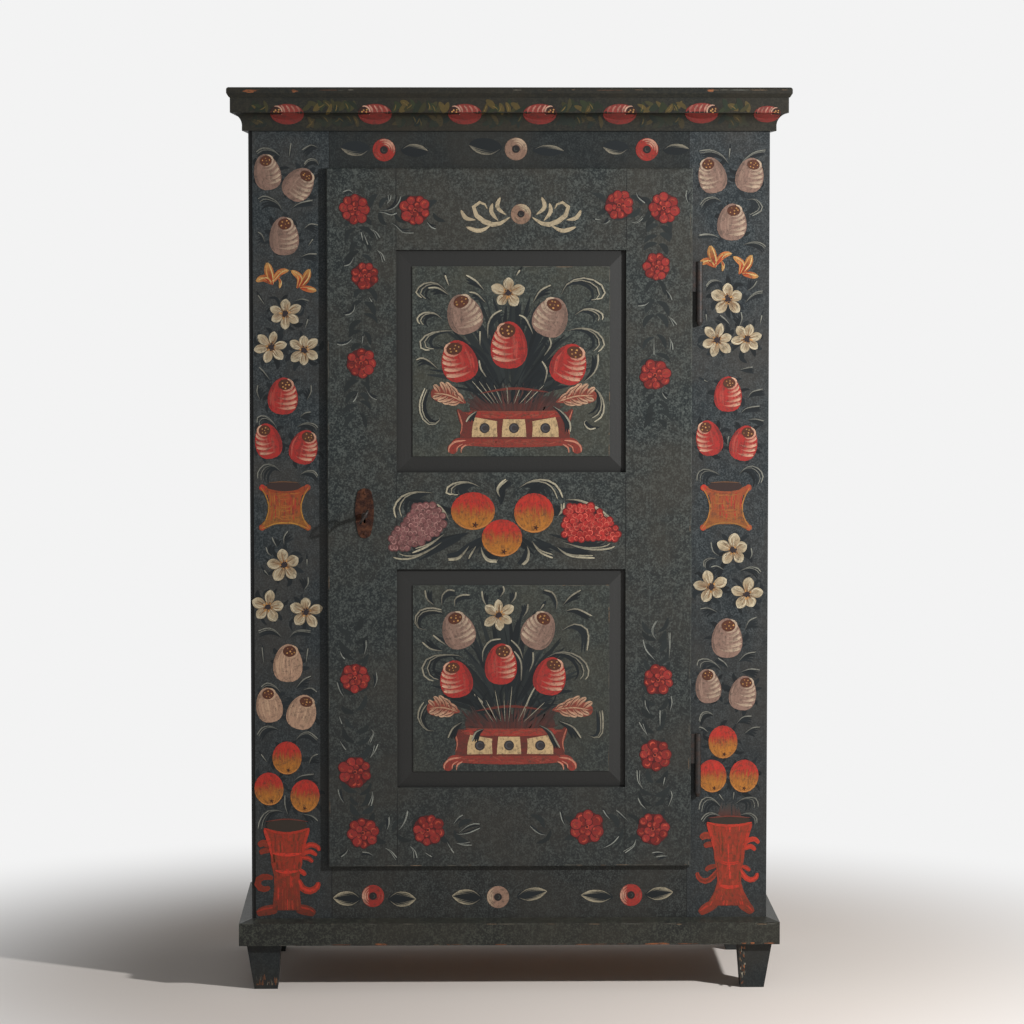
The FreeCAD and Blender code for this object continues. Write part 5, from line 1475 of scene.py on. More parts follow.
def place_buds(board, buds):
    """Lays buds at pixels of the photograph."""
    for across, down, tilt, lit, pair, size, tall in buds:
        bud(board, board.spot(across, down), tilt, pair, lit, size, tall)


def pilaster(side, plan):
    """One pilaster: thin arcs, the flowers and fruit between them, a basket and an urn."""
    board = Board("ornament_pilaster_" + side, "case", FRONT)
    low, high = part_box("front_stile_" + side)
    board.span = (low.x + EDGE_CLEAR, high.x - EDGE_CLEAR)
    for line in plan["arcs"]:
        scroll(board, line, half=ARC_HALF, hue=PALE_GREY, count=4, twin=ARC_TWIN if len(line) > 3 else 0.0)
    for flower in plan["buds"] + plan["stars"] + plan["apples"]:
        collar(board, board.spot(flower[0], flower[1]), COLLAR_RADIUS)
    place_buds(board, plan["buds"])
    for across, down, petals in plan["lilies"]:
        lily(board, board.spot(across, down), petals)
    for across, down, turn, petals in plan["stars"]:
        star(board, board.spot(across, down), petals, turn)
    for across, down, tilt in plan["apples"]:
        apple(board, board.spot(across, down), tilt)
    basket(board, board.spot(*plan["basket"]), *plan["wicker"])
    urn(board, board.spot(*plan["urn"]), plan["vase"], plan["shade"])
    board.paint()


pilaster("left", LEFT_PILASTER)
pilaster("right", RIGHT_PILASTER)

# %% [markdown]
# ## The door panels
# Each panel holds a planter with five buds and a star above it. The scrolls round the flowers are
# free strokes, so each is a short line of places read off the photograph, brightest at its tip. A
# few of them hang over the planter's corners, so they are laid last.

# %% The upper panel's plan
UPPER_PANEL = {
    "buds": (
        (464, 314, -20, 1, MAUVE_BUD, 1.28, 0.86), (551, 317, 22, -1, MAUVE_BUD, 1.28, 0.86),
        (459, 361, -14, -1, RED_BUD, 1.32, 0.87), (509, 345, 0, -1, RED_BUD, 1.34, 0.96),
        (569, 364, 20, 1, RED_BUD, 1.32, 0.86),
    ),
    "star": (508, 293),
    "planter": (515, 454),
    "scrolls": (
        ((422, 298), (416, 292), (423, 284), (436, 283), (448, 293)), ((428, 288), (438, 288), (449, 295)),
        ((420, 324), (417, 319), (423, 313), (434, 313), (442, 319)),
        ((430, 350), (422, 349), (420, 342), (428, 334), (442, 331), (456, 331)),
        ((416, 360), (422, 358), (429, 361), (438, 369)),
        ((440, 416), (439, 421), (433, 425), (425, 422), (420, 412), (420, 401), (425, 388)),
        ((466, 275), (476, 281), (484, 290)), ((469, 292), (477, 294), (486, 303)),
        ((502, 310), (493, 315), (488, 325), (488, 339)), ((519, 315), (526, 319), (533, 334)),
        ((533, 303), (540, 291), (551, 285)),
        ((561, 295), (568, 283), (582, 278), (596, 281), (605, 290), (602, 298), (596, 299)),
        ((575, 315), (585, 309), (596, 310), (603, 315), (602, 320)),
        ((567, 331), (581, 328), (595, 331), (603, 339), (604, 346), (598, 352)),
        ((598, 354), (598, 363), (594, 373), (584, 382)), ((549, 337), (551, 345), (544, 356)),
        ((594, 422), (602, 416), (604, 404), (599, 392), (589, 385)),
        ((596, 428), (589, 429), (584, 423), (587, 420)), ((542, 361), (547, 371), (544, 384)),
        ((479, 360), (481, 369), (487, 378)),
    ),
    "hanging": (((553, 406), (563, 413), (570, 423), (570, 432)), ((477, 411), (470, 416), (466, 422))),
    "spurs": (((445, 275), (449, 286)), ((480, 331), (480, 345)), ((520, 270), (516, 276))),
    "stem_tips": (
        (472, 381), (479, 381), (494, 385), (507, 387), (532, 390), (544, 385), (486, 383), (520, 388),
    ),
    "stem_foot": (509, 404),
    "leaves": (((466, 403), (430, 392)), ((556, 402), (598, 395))),
    "petals": 5,
    "light": DULL_CREAM,
}
print("upper scrolls", len(UPPER_PANEL["scrolls"]))

# %% The lower panel's plan
LOWER_PANEL = {
    "buds": (
        (458, 630, -20, 1, MAUVE_BUD, 1.2, 0.88), (539, 630, 28, -1, MAUVE_BUD, 1.2, 0.9),
        (456, 679, -10, -1, RED_BUD, 1.2, 0.86), (501, 664, 2, 1, RED_BUD, 1.18, 0.96),
        (550, 676, 12, 1, RED_BUD, 1.2, 0.88),
    ),
    "star": (499, 615),
    "planter": (510, 771),
    "scrolls": (
        ((427, 630), (417, 627), (415, 618), (421, 610), (432, 608), (442, 610)),
        ((442, 606), (442, 596), (448, 590), (455, 591)), ((455, 607), (455, 599), (462, 595), (470, 595)),
        ((425, 590), (427, 599), (434, 605)), ((422, 642), (431, 649), (443, 651)),
        ((433, 635), (439, 640), (446, 645)),
        ((434, 681), (426, 678), (422, 669), (427, 659), (438, 655), (456, 655), (463, 658)),
        ((434, 731), (425, 729), (418, 718), (420, 708), (424, 702)), ((482, 591), (483, 599), (487, 607)),
        ((503, 586), (504, 591), (500, 597)), ((516, 592), (515, 598), (511, 603)),
        ((528, 604), (527, 611), (523, 617)), ((544, 590), (553, 593), (557, 602), (556, 610)),
        ((563, 605), (571, 596), (581, 590)), ((566, 611), (577, 609), (592, 616)),
        ((561, 631), (575, 624), (588, 631), (587, 651)),
        ((546, 658), (559, 652), (574, 654), (585, 662), (589, 673), (585, 680)),
        ((588, 735), (596, 738), (602, 734), (603, 721), (602, 710)),
        ((483, 662), (483, 651), (490, 641), (501, 639)), ((511, 640), (519, 648), (523, 659)),
        ((514, 651), (521, 662), (521, 682)), ((533, 652), (533, 662), (529, 672)),
    ),
    "hanging": (
        ((448, 738), (453, 728), (462, 722)), ((472, 741), (476, 732), (484, 729)),
        ((539, 725), (550, 731), (556, 741), (560, 748)), ((559, 721), (573, 727), (581, 738)),
    ),
    "spurs": (
        ((544, 604), (540, 610)), ((474, 694), (490, 710), (498, 721)), ((535, 687), (528, 701), (523, 719)),
    ),
    "stem_tips": ((478, 698), (495, 690), (512, 686), (504, 700), (532, 692), (545, 702), (486, 700)),
    "stem_foot": (506, 722),
    "leaves": (((460, 712), (426, 708)), ((552, 710), (594, 710))),
    "petals": 6,
    "light": mixed(DULL_CREAM, GROUND, 0.3),
}
print("lower scrolls", len(LOWER_PANEL["scrolls"]))

# %% Paint both panels
UNDERGROWTH = {"wide": 180, "high": 246, "count": 120}
SCROLL_HALF = 1.7
SCROLL_TWIN = 4.0
STEM_HALF = 0.7
STEM_SPREAD = 0.45
STEM_BLADE_HALF = 2.4


def bouquet(name, plan):
    """A panel's whole bouquet in its planter."""
    board = Board(name, "door", FIELD_FACE)
    foot = plan["stem_foot"]
    heart = board.spot(*foot)
    light = plan["light"]
    undergrowth(board, heart, **UNDERGROWTH)
    for line in plan["scrolls"] + plan["spurs"]:
        scroll(board, line, heart, SCROLL_HALF, light, twin=SCROLL_TWIN if len(line) > 4 else 0.0)
    planter(board, board.spot(*plan["planter"]))
    for across, down in plan["stem_tips"]:
        base = (foot[0] + (across - foot[0]) * STEM_SPREAD, foot[1])
        stem = [mixed(DULL_CREAM, GROUND, 0.55), varied(DULL_CREAM, 0.25)]
        board.stroke(board.trail((base, (across, down))), STEM_HALF, stem, 2, 1.0)
        for lean in (-9, 9):
            low = (base[0] + lean * 0.5, base[1])
            blade = board.trail((low, (across + lean * 0.6, down + 4), (across + lean * 1.3, down - 8)))
            board.stroke(blade, STEM_BLADE_HALF, varied(DARK_LEAF, 0.3), 1.5, 1.3)
    for base, tip in plan["leaves"]:
        acanthus(board, board.spot(*base), board.spot(*tip))
    place_buds(board, plan["buds"])
    star(board, board.spot(*plan["star"]), plan["petals"])
    for line in plan["hanging"]:
        scroll(board, line, heart, SCROLL_HALF, light, layer=6.0)
    board.paint()


bouquet("ornament_panel_upper", UPPER_PANEL)
bouquet("ornament_panel_lower", LOWER_PANEL)

# %% [markdown]
# ## The door's frame
# Red rosettes stand round the frame, joined by dark garlands. On the middle rail lie three apples
# between grapes and berries, with long light strokes springing from behind them. A small scroll
# ornament of two mirrored sprays fills the middle of the top rail.

# %% Where the rosettes and garlands sit
ROSETTES = (
    (355, 209, 1.06), (415, 210, 1.07), (619, 205, 1.04), (664, 208, 1.08), (365, 276, 0.97),
    (361, 363, 1.07), (657, 267, 0.98), (655, 375, 1.1), (355, 678, 1.08), (355, 772, 1.15),
    (363, 833, 1.12), (428, 830, 1.14), (658, 680, 1.07), (655, 755, 1.14), (587, 827, 1.22),
    (653, 829, 1.18),
)
GARLANDS = (
    ((356, 212), (362, 272)), ((364, 280), (361, 358)), ((360, 368), (358, 420)), ((360, 209), (440, 212)),
    ((660, 212), (657, 262)), ((656, 272), (655, 370)), ((655, 380), (657, 425)), ((655, 207), (600, 205)),
    ((355, 674), (354, 625)), ((355, 768), (355, 684)), ((363, 828), (356, 778)), ((368, 834), (470, 828)),
    ((658, 676), (657, 625)), ((655, 750), (657, 686)), ((653, 824), (655, 760)), ((648, 829), (535, 829)),
)
GARLAND_PAIRS = (
    ((391, 195), (390, 200), (387, 204)), ((380, 238), (376, 232), (370, 229)),
    ((385, 261), (382, 254), (377, 250)), ((643, 218), (640, 221), (636, 223), (631, 222)),
    ((677, 325), (673, 320), (668, 316)), ((673, 350), (672, 343), (669, 337)),
    ((370, 743), (372, 738), (374, 733), (371, 729)), ((378, 744), (375, 751), (370, 758)),
    ((371, 806), (373, 798), (372, 791)), ((397, 858), (391, 851), (385, 848)),
    ((408, 811), (406, 819), (403, 825), (399, 830)), ((417, 858), (415, 851), (410, 846)),
    ((472, 845), (464, 845), (456, 843)), ((454, 853), (451, 849), (447, 842)),
    ((625, 853), (629, 850), (634, 846), (636, 839)), ((656, 621), (652, 629), (653, 635), (656, 639)),
    ((643, 640), (646, 650), (652, 657), (655, 660)), ((670, 632), (670, 646), (669, 658)),
    ((639, 722), (643, 729), (648, 736)), ((637, 770), (638, 781), (643, 789)),
)
GARLAND_LINES = (
    ((343, 192), (349, 190), (353, 193)), ((401, 196), (399, 202), (395, 207), (389, 210), (380, 210)),
    ((397, 213), (391, 215), (385, 213), (378, 212)),
    ((414, 233), (407, 233), (402, 232), (396, 226), (390, 222)), ((436, 229), (431, 227), (427, 222)),
    ((361, 232), (363, 241)), ((368, 245), (364, 234)), ((344, 266), (350, 264), (354, 257)),
    ((345, 315), (350, 314), (354, 310), (355, 304)), ((372, 302), (369, 297)),
    ((337, 344), (342, 345), (348, 343), (353, 338)), ((363, 336), (362, 344)),
    ((353, 402), (356, 398), (358, 392)), ((377, 400), (371, 397), (367, 391)),
    ((645, 203), (641, 200), (638, 197), (636, 192)), ((610, 220), (607, 223), (603, 224)),
    ((595, 219), (601, 220)), ((672, 300), (670, 295), (666, 290)), ((638, 306), (645, 305), (649, 302)),
    ((654, 355), (654, 338)), ((667, 399), (664, 396), (662, 392)), ((687, 190), (686, 196), (688, 203)),
    ((345, 659), (342, 656), (340, 651)), ((366, 640), (366, 648), (364, 655)),
    ((337, 682), (340, 691), (344, 697)), ((376, 672), (377, 680), (374, 688)), ((342, 724), (339, 716)),
    ((346, 750), (343, 746), (340, 741)), ((338, 789), (340, 797), (344, 803)),
    ((389, 817), (389, 824), (387, 830)), ((362, 852), (369, 853), (373, 856)),
    ((341, 857), (346, 853), (348, 849)), ((463, 815), (458, 818), (453, 825)),
    ((480, 824), (473, 824), (466, 827), (459, 833)), ((480, 828), (471, 832), (464, 834), (456, 834)),
    ((432, 857), (424, 852)), ((530, 826), (534, 830), (540, 834), (547, 835)),
    ((560, 812), (562, 820), (565, 825)), ((603, 810), (607, 816), (610, 819)),
    ((616, 810), (621, 814), (627, 820)), ((619, 836), (614, 842), (608, 846), (603, 848)),
    ((638, 798), (641, 804), (646, 809)), ((652, 853), (658, 852), (664, 853)),
    ((656, 857), (662, 856), (668, 856)), ((645, 700), (646, 707), (650, 714)),
    ((671, 696), (672, 703), (670, 711)), ((660, 710), (660, 726)), ((665, 777), (663, 786)),
    ((671, 791), (672, 797), (668, 807)),
)
GARLAND_LIGHT = tint(134, 137, 129)
print("rosettes", len(ROSETTES), "light strokes", len(GARLAND_PAIRS) + len(GARLAND_LINES))

# %% Where the fruit sits
MIDDLE_APPLES = ((473, 511, 1.5, 0.86), (534, 513, 1.36, 1.0), (502, 538, 1.38, 0.92))
GRAPES = ((386, 549), (391, 537), (403, 519), (416, 506), (430, 502), (441, 509), (446, 520), (441, 534),
          (420, 544), (400, 551))
BERRIES = ((561, 530), (563, 517), (569, 507), (577, 502), (587, 503), (597, 509), (608, 518), (618, 527),
           (619, 536), (612, 541), (595, 541), (578, 541), (566, 538))
FRUIT_STROKES = (
    ((396, 518), (394, 508), (401, 497), (415, 492), (433, 493)),
    ((454, 494), (447, 494), (447, 488), (455, 483), (468, 482), (480, 487)),
    ((500, 497), (497, 490), (500, 484), (506, 479)),
    ((519, 488), (531, 481), (546, 480), (557, 486), (563, 498)), ((558, 516), (563, 510), (564, 503)),
    ((565, 500), (579, 500), (598, 508), (614, 522)), ((437, 504), (444, 511), (449, 520)),
    ((393, 557), (400, 559), (413, 558), (430, 550), (442, 542)), ((412, 553), (428, 546), (444, 534)),
    ((448, 560), (458, 559), (464, 553), (469, 546)), ((469, 558), (473, 551), (476, 546)),
    ((481, 547), (483, 555), (488, 561), (497, 562)), ((523, 565), (528, 560), (529, 552), (527, 546)),
    ((532, 541), (540, 552), (553, 558)), ((557, 547), (570, 556), (595, 558)),
    ((562, 542), (587, 549), (607, 549), (615, 546)),
)
FRUIT_MIDDLE = (502, 522)
FRUIT_LIGHT = tint(176, 168, 144)
FRUIT_BLADE_HALF = 3.6
GRAPE_TINTS = (tint(118, 78, 77), tint(158, 118, 112), tint(94, 58, 58))
BERRY_TINTS = (tint(154, 43, 40), tint(196, 90, 76), tint(104, 30, 30))
print("fruit strokes", len(FRUIT_STROKES))

# %% Paint the door's frame
door_art = Board("ornament_door_frame", "door", DOOR_FACE)
for start, end in GARLANDS:
    garland(door_art, door_art.spot(*start), door_art.spot(*end))
for lines, twin in ((GARLAND_LINES, 0.0), (GARLAND_PAIRS, 6.0)):
    for line in lines:
        scroll(door_art, line, half=1.15, hue=GARLAND_LIGHT, count=2, fade=0.45, twin=twin)
for n, (across, down, size) in enumerate(ROSETTES):
    rosette(door_art, door_art.spot(across, down), 17 * n, size)
door_art.paint()

# %% Paint the middle rail's fruit
fruit_art = Board("ornament_door_fruit", "door", DOOR_FACE)
for line in FRUIT_STROKES:
    scroll(fruit_art, line, fruit_art.spot(*FRUIT_MIDDLE), 1.9, FRUIT_LIGHT, 5, twin=5.0)
    middle = line[len(line) // 2]
    inner = mixed(FRUIT_MIDDLE, middle, 0.45)
    for lean in (-5, 0, 5):
        outer = (middle[0] + lean, middle[1] + lean * 0.5)
        blade = fruit_art.trail((inner, outer))
        fruit_art.stroke(blade, FRUIT_BLADE_HALF, varied(DARK_LEAF, 0.3), 0.5, 1.3)
bunch(fruit_art, GRAPES, *GRAPE_TINTS)
bunch(fruit_art, BERRIES, *BERRY_TINTS)
for across, down, size, tall in MIDDLE_APPLES:
    apple(fruit_art, fruit_art.spot(across, down), 0, size, tall)
print("marks on the middle rail", fruit_art.strokes)

# %% Paint the top rail's spray
TOP_SPRAY = (521, 214)
SPRAY_CREAM = tint(172, 157, 130)
SPRAY_FLOWER = tint(140, 112, 94)
SPRAY_STEM = ((22, -6), (52, -22), (86, -8), (96, 16), (78, 24), (68, 10))
SPRAY_STEM_HALVES = [3.5, 5.2, 5.0, 4.2, 3.6, 3.2]
SPRAY_LEAVES = (
    ((30, -2), (48, 14), (42, 34)), ((46, -14), (60, 4), (58, 22)), ((60, -22), (84, -34), (112, -26)),
    ((92, -12), (112, -8), (122, 8)),
)


def spray(board, centre):
    """Two mirrored sprays of scrolls that spring from a small ringed flower."""
    at = turned(centre)
    for side in (-1, 1):
        sheet = mirrored(at, side)
        board.stroke(along(sheet, *SPRAY_STEM), SPRAY_STEM_HALVES, varied(SPRAY_CREAM), 2, 0.9)
        for points in SPRAY_LEAVES:
            board.stroke(along(sheet, *points), 4.2, varied(SPRAY_CREAM), 2, 1.3, 1.2)
    ringed(board, centre, SPRAY_FLOWER, SPRAY_CREAM, 0.9)


spray(fruit_art, fruit_art.spot(*TOP_SPRAY))
fruit_art.paint()

# %% [markdown]
# ## Rails and cornice
# The two rails of the case carry three ringed flowers each, with a pair of almond leaves. The
# cornice has a row of lying buds draped over the edge between its flat face and its hollow. Here the
# tree's ray test matters: it follows the hollow, so the paint lies on the moulding everywhere.

# %% Paint the rails
RAIL_RED = (tint(142, 47, 41), tint(186, 142, 120))
RAIL_PALE = (tint(136, 108, 92), tint(174, 152, 128))
RAIL_LIGHT = tint(128, 122, 106)
TOP_FLOWERS = ((384, 150, RAIL_RED), (516, 149, RAIL_PALE), (647, 149.5, RAIL_RED))
TOP_LEAVES = (
    ((370, 149), (341, 148), 15, (-1,)), ((401, 150), (428, 151), 13, (1,)),
    ((502, 148), (469, 145), 17, (-1,)), ((533, 150), (564, 151), 11, (1,)),
    ((629, 148), (603, 147), 14, (-1,)), ((663, 150), (689, 149), 11, (1,)),
)
BOTTOM_FLOWERS = ((373, 896, RAIL_RED), (498, 897, RAIL_PALE), (631, 895, RAIL_RED))
BOTTOM_LEAVES = (
    ((361, 899), (333, 898), 15, (-1, 1)), ((388, 899), (416, 899), 16, (-1, 1)),
    ((482, 898), (452, 896), 16, (-1, 1)), ((517, 897), (547, 891), 13, (-1, 1)),
    ((613, 897), (581, 895), 13, (-1, 1)), ((645, 895), (673, 892), 13, (-1, 1)),
)
TOP_LIT = 0.0
BOTTOM_LIT = 130.0


def rail(name, node, flowers, leaves, lit, light):
    """A rail's three flowers, lit from one side, and their leaves."""
    board = Board(name, "case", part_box(node)[0].y)
    for tail, tip, bulge, sides in leaves:
        almond(board, board.spot(*tail), board.spot(*tip), bulge, light, sides)
    for across, down, tones in flowers:
        ringed(board, board.spot(across, down), *tones, turn=lit)
    board.paint()


rail("ornament_rail_top", "front_rail_top", TOP_FLOWERS, TOP_LEAVES, TOP_LIT, RAIL_LIGHT)
rail("ornament_rail_bottom", "front_rail_bottom", BOTTOM_FLOWERS, BOTTOM_LEAVES, BOTTOM_LIT,
     mixed(RAIL_LIGHT, CREAM, 0.5))

# %% A lying bud
LYING_RED = tint(110, 41, 37)
LYING_LIT = tint(126, 53, 47)
LYING_SHELL = tint(168, 120, 104)
LYING_EYE = tint(44, 28, 24)
LYING_LID = tint(190, 150, 128)


def lying_bud(board, centre, face, size):
    """A bud that lies along the cornice, its upper half in the light and its eye at one end."""
    at = turned(centre, 0.0, size)
    board.stroke(along(at, (-34, 0), (0, 0), (34, 0)), 20.5 * size, LYING_RED, 2)
    board.stroke(along(at, (-28, 7), (0, 9), (28, 7)), 10.5 * size, LYING_LIT, 3)
    for n in range(4):
        x = face * (12 - 10 * n)
        shell = along(at, (x, 18 - n * 0.6), (x - face * 6, 9), (x - face * 7, 0))
        light = mixed(varied(LYING_SHELL, 0.2), LYING_LIT, 0.2 * n)
        board.stroke(shell, 1.8 * size, [light, light, mixed(light, LYING_RED, 0.8)], 4, 1.0, 0.8)
    disc(board, at, face * 22, 4, 11.5, LYING_EYE, 4.5, size)
    lid = arc(at, face * 22, 4, 12.0, 90 - face * 20, 90 + face * 130)
    board.stroke(lid, 1.6 * size, varied(LYING_LID), 5, 1.2)
    for x, y in ((0, 1), (4.5, 4), (-4, 4.5), (-1, 7.5), (5.5, 8.5)):
        disc(board, at, face * 22 + x, y, 1.7, varied(EYE_DOT, 0.25), 5, size)


# %% Paint the cornice
CORNICE_BUDS = ((287, 114, -1, 1.0), (375, 114, -1, 1.0), (465, 114, -1, 1.0), (540, 114, 1, 1.0),
                (620, 114, 1, 1.0), (702, 113, 1, 1.0), (767.5, 114, 1, 0.8))
CORNICE_ROWS = ((107, 0.95), (121, 0.45))
CORNICE_ENDS = (231, 801)
BUD_ROOM = 34
BUD_CLEAR = 19
LEAVES_TO_RUN = 13
LEAF_RUN = 50
LEAF_TINTS = (tint(32, 38, 28), tint(40, 45, 29), tint(52, 50, 31), tint(78, 66, 36))
LEAF_GLINT = tint(118, 97, 52)

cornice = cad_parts["cornice_front"]
cornice_art = Board("ornament_cornice", "case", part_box("cornice_front")[0].y, cornice)
stops = [CORNICE_ENDS[0], *(lying[0] for lying in CORNICE_BUDS), CORNICE_ENDS[1]]
for first, second in zip(stops, stops[1:]):
    count = round(LEAVES_TO_RUN * (second - first - BUD_ROOM) / LEAF_RUN)
    for n in range(max(count, 0)):
        for row, tone in CORNICE_ROWS:
            across = first + BUD_CLEAR + (second - first - 2 * BUD_CLEAR) * (n + 0.5) / count + roll(-2, 2)
            lean = roll(10, 65) * (1 if (n + row) % 2 else -1)
            leaf = turned(cornice_art.spot(across, row + roll(-2.5, 2.5)), lean)
            hue = mixed(DARK_LEAF, varied(chance.choice(LEAF_TINTS), 0.2), tone)
            half = roll(3.4, 6.6)
            cornice_art.stroke(along(leaf, (0, -12), (2.5, 0), (0, 13)), half, hue, 1, 1.3)
            if chance.random() < 0.25:
                glint = mixed(hue, varied(LEAF_GLINT, 0.2), 0.7 * tone)
                cornice_art.stroke(along(leaf, (1, -6), (2, 0), (1, 8)), 1.0, glint, 2, 1.3)
for across, down, face, size in CORNICE_BUDS:
    lying_bud(cornice_art, cornice_art.spot(across, down), face, size)
cornice_art.paint()

# %% [markdown]
# ## Wear, and painted highlights
# Long years of dusting and moving have rubbed the paint off the edges. On the sharp edges it shows
# as thin broken lines, and where a corner was knocked, the bare wood looks out orange brown. The paint
# has also cracked along the joints of the frame. On the right and top edges of the panels' fields, the
# same thin pale lines are a painted highlight, where the light strikes the arris. All of these are
# brushed on like the ornament, with the same tree, because they are thin marks on a face too.

# %% Worn lines and painted highlight lines, chips and cracks
RUBBED_AND_HIGHLIGHT = (tint(96, 92, 82), tint(112, 92, 72), tint(84, 84, 78))
BARE_WOOD = (tint(142, 88, 56), tint(120, 74, 48), tint(98, 64, 45))
FLECK = tint(148, 140, 124)
CRACK = tint(24, 25, 25)
CRACK_HALF = 0.7


def pale_streaks(board, start, end, hues, cover, half=0.7):
    """Broken thin pale lines along an edge: rubbed-off paint, and on the panels a painted highlight."""
    span = math.dist(start, end)
    place = 0.0
    while place < span:
        dash = min(roll(4, 42) * MM, span - place)
        if chance.random() < cover and dash > MM:
            shares = [(place + dash * k) / span for k in (0, 0.5, 1)]
            jitter = roll(-0.5, 0.5) * MM
            line = [tuple(v + jitter for v in mixed(start, end, share)) for share in shares]
            board.stroke(line, half * roll(0.4, 1.3), varied(chance.choice(hues), 0.25), 0.5, 1.2)
        place += dash + 0.5 * MM


def chip(board, centre, wide, high):
    """A knocked spot of bare wood, ragged along the grain."""
    for n in range(7):
        spot = turned(centre)(roll(-0.5, 0.5) * wide, roll(-0.5, 0.5) * high)
        reach = wide * roll(0.3, 0.7)
        half = high * roll(0.3, 0.6)
        board.stroke(along(turned(spot), (-reach, 0), (reach, 0)), half, varied(BARE_WOOD[n % 3]), 0.5, 0.8)


def crack(board, start, end):
    """A fine dark line where the paint has parted along a joint."""
    places = [mixed(start, end, share) for share in (0, 0.25, 0.5, 0.75, 1)]
    line = [tuple(v + roll(-0.4, 0.4) * MM for v in place) for place in places]
    board.stroke(line, CRACK_HALF, CRACK, 0.5, 0.3)


# %% Wear on the mouldings
TOP_CHIPS = ((250, 91, 13, 3.4), (295, 91, 7, 3.4), (711, 90.5, 7, 3))
PLINTH_CHIPS = ((658, 943.5, 30, 2), (381, 943, 12, 2.4), (744, 942.5, 5, 2), (753, 942, 5, 2.4),
                (770, 942, 12, 1.4))
TOP_EDGE = ((232, 90), (788, 90))
PLINTH_EDGE = ((242, 924), (775, 924))
PLINTH_RUB = ((735, 923.5), (776, 924))
PLINTH_INSET = 20 * MM


def edged(name, node):
    """A board for the wear on one node of the case, which the marks follow by ray."""
    return Board(name, "case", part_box(node)[0].y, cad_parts[node])


top_wear = edged("wear_top_board", "top_board")
pale_streaks(top_wear, *top_wear.trail(TOP_EDGE), RUBBED_AND_HIGHLIGHT + BARE_WOOD[2:], 0.22)
for across, down, wide, high in TOP_CHIPS:
    chip(top_wear, top_wear.spot(across, down), wide, high)
top_wear.paint()

plinth_low, plinth_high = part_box("plinth_front")
plinth_wear = edged("wear_plinth", "plinth_front")
pale_streaks(plinth_wear, *plinth_wear.trail(PLINTH_EDGE), RUBBED_AND_HIGHLIGHT, 0.45)
bottom = plinth_low.z + 1.5 * MM
ends = [(x, bottom) for x in (plinth_low.x + PLINTH_INSET, plinth_high.x - PLINTH_INSET)]
pale_streaks(plinth_wear, *ends, RUBBED_AND_HIGHLIGHT + BARE_WOOD, 0.5)
for across, down, wide, high in PLINTH_CHIPS:
    chip(plinth_wear, (plinth_wear.spot(across, down)[0], bottom + MM), wide, high)
pale_streaks(plinth_wear, *plinth_wear.trail(PLINTH_RUB), RUBBED_AND_HIGHLIGHT + (FLECK,), 0.8)
plinth_wear.paint()

# %% Wear on the front feet
FOOT_SCRATCHES = 26
FOOT_LINE = 986.5
FOOT_STEPS = (0, 0, 2, 5)
FOOT_ENDS = (255, 277)
FOOT_FLECKS = 44
FOOT_FLECK_PLACE = (742.5, 947, 984)

foot_wear = edged("wear_foot_left", "foot_front_left")
for _ in range(FOOT_SCRATCHES):
    low = foot_wear.spot(roll(*FOOT_ENDS), FOOT_LINE - chance.choice(FOOT_STEPS))
    tip = (low[0] + roll(-2, 2) * MM, low[1] + roll(3, 15) * MM)
    hue = varied(chance.choice(RUBBED_AND_HIGHLIGHT + BARE_WOOD), 0.3)
    foot_wear.stroke([low, tip], roll(0.4, 1.1), hue, 0.5, 1.3, 0.7)
foot_wear.paint()
foot_wear = edged("wear_foot_right", "foot_front_right")
across, top, foot = FOOT_FLECK_PLACE
for _ in range(FOOT_FLECKS):
    down = top + (foot - top) * chance.random() ** 1.4
    spot = turned(foot_wear.spot(across + roll(-3, 3), down), roll(-12, 12))
    hue = varied(chance.choice(RUBBED_AND_HIGHLIGHT + BARE_WOOD + (FLECK, CRACK)), 0.25)
    foot_wear.stroke(along(spot, (0, -4), (0, roll(0, 5))), roll(0.5, 1.6), hue, 0.5, 1.2)
foot_wear.paint()

# %% Cracks along the joints, and rubbed edges of the door
CASE_CLEAR = 2 * MM
DOOR_CLEAR = 4 * MM

case_wear = Board("wear_case_joints", "case", FRONT)
for node in ("front_rail_top", "front_rail_bottom"):
    low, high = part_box(node)
    for across in (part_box("front_stile_left")[1].x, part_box("front_stile_right")[0].x):
        crack(case_wear, (across, low.z + CASE_CLEAR), (across, high.z - CASE_CLEAR))
case_wear.paint()

door_wear = Board("wear_door", "door", DOOR_FACE)
door_low, door_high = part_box("door_lock_stile")
door_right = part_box("door_hinge_stile")[1].x
for node in ("door_rail_top", "door_rail_middle", "door_rail_bottom"):
    low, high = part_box(node)
    for across in (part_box("door_lock_stile")[1].x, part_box("door_hinge_stile")[0].x):
        crack(door_wear, (across, low.z + DOOR_CLEAR), (across, high.z - DOOR_CLEAR))
left, right = door_low.x + DOOR_CLEAR, door_right - DOOR_CLEAR
foot, head = door_low.z + DOOR_CLEAR, door_high.z - DOOR_CLEAR
for across in (left, right):
    pale_streaks(door_wear, (across, foot), (across, head), RUBBED_AND_HIGHLIGHT, 0.22, 0.5)
pale_streaks(door_wear, (left, foot), (right, foot), RUBBED_AND_HIGHLIGHT, 0.3, 0.5)
door_wear.paint()

# %% Painted highlights on the panels' edges
FIELD_CLEAR = 0.8 * MM

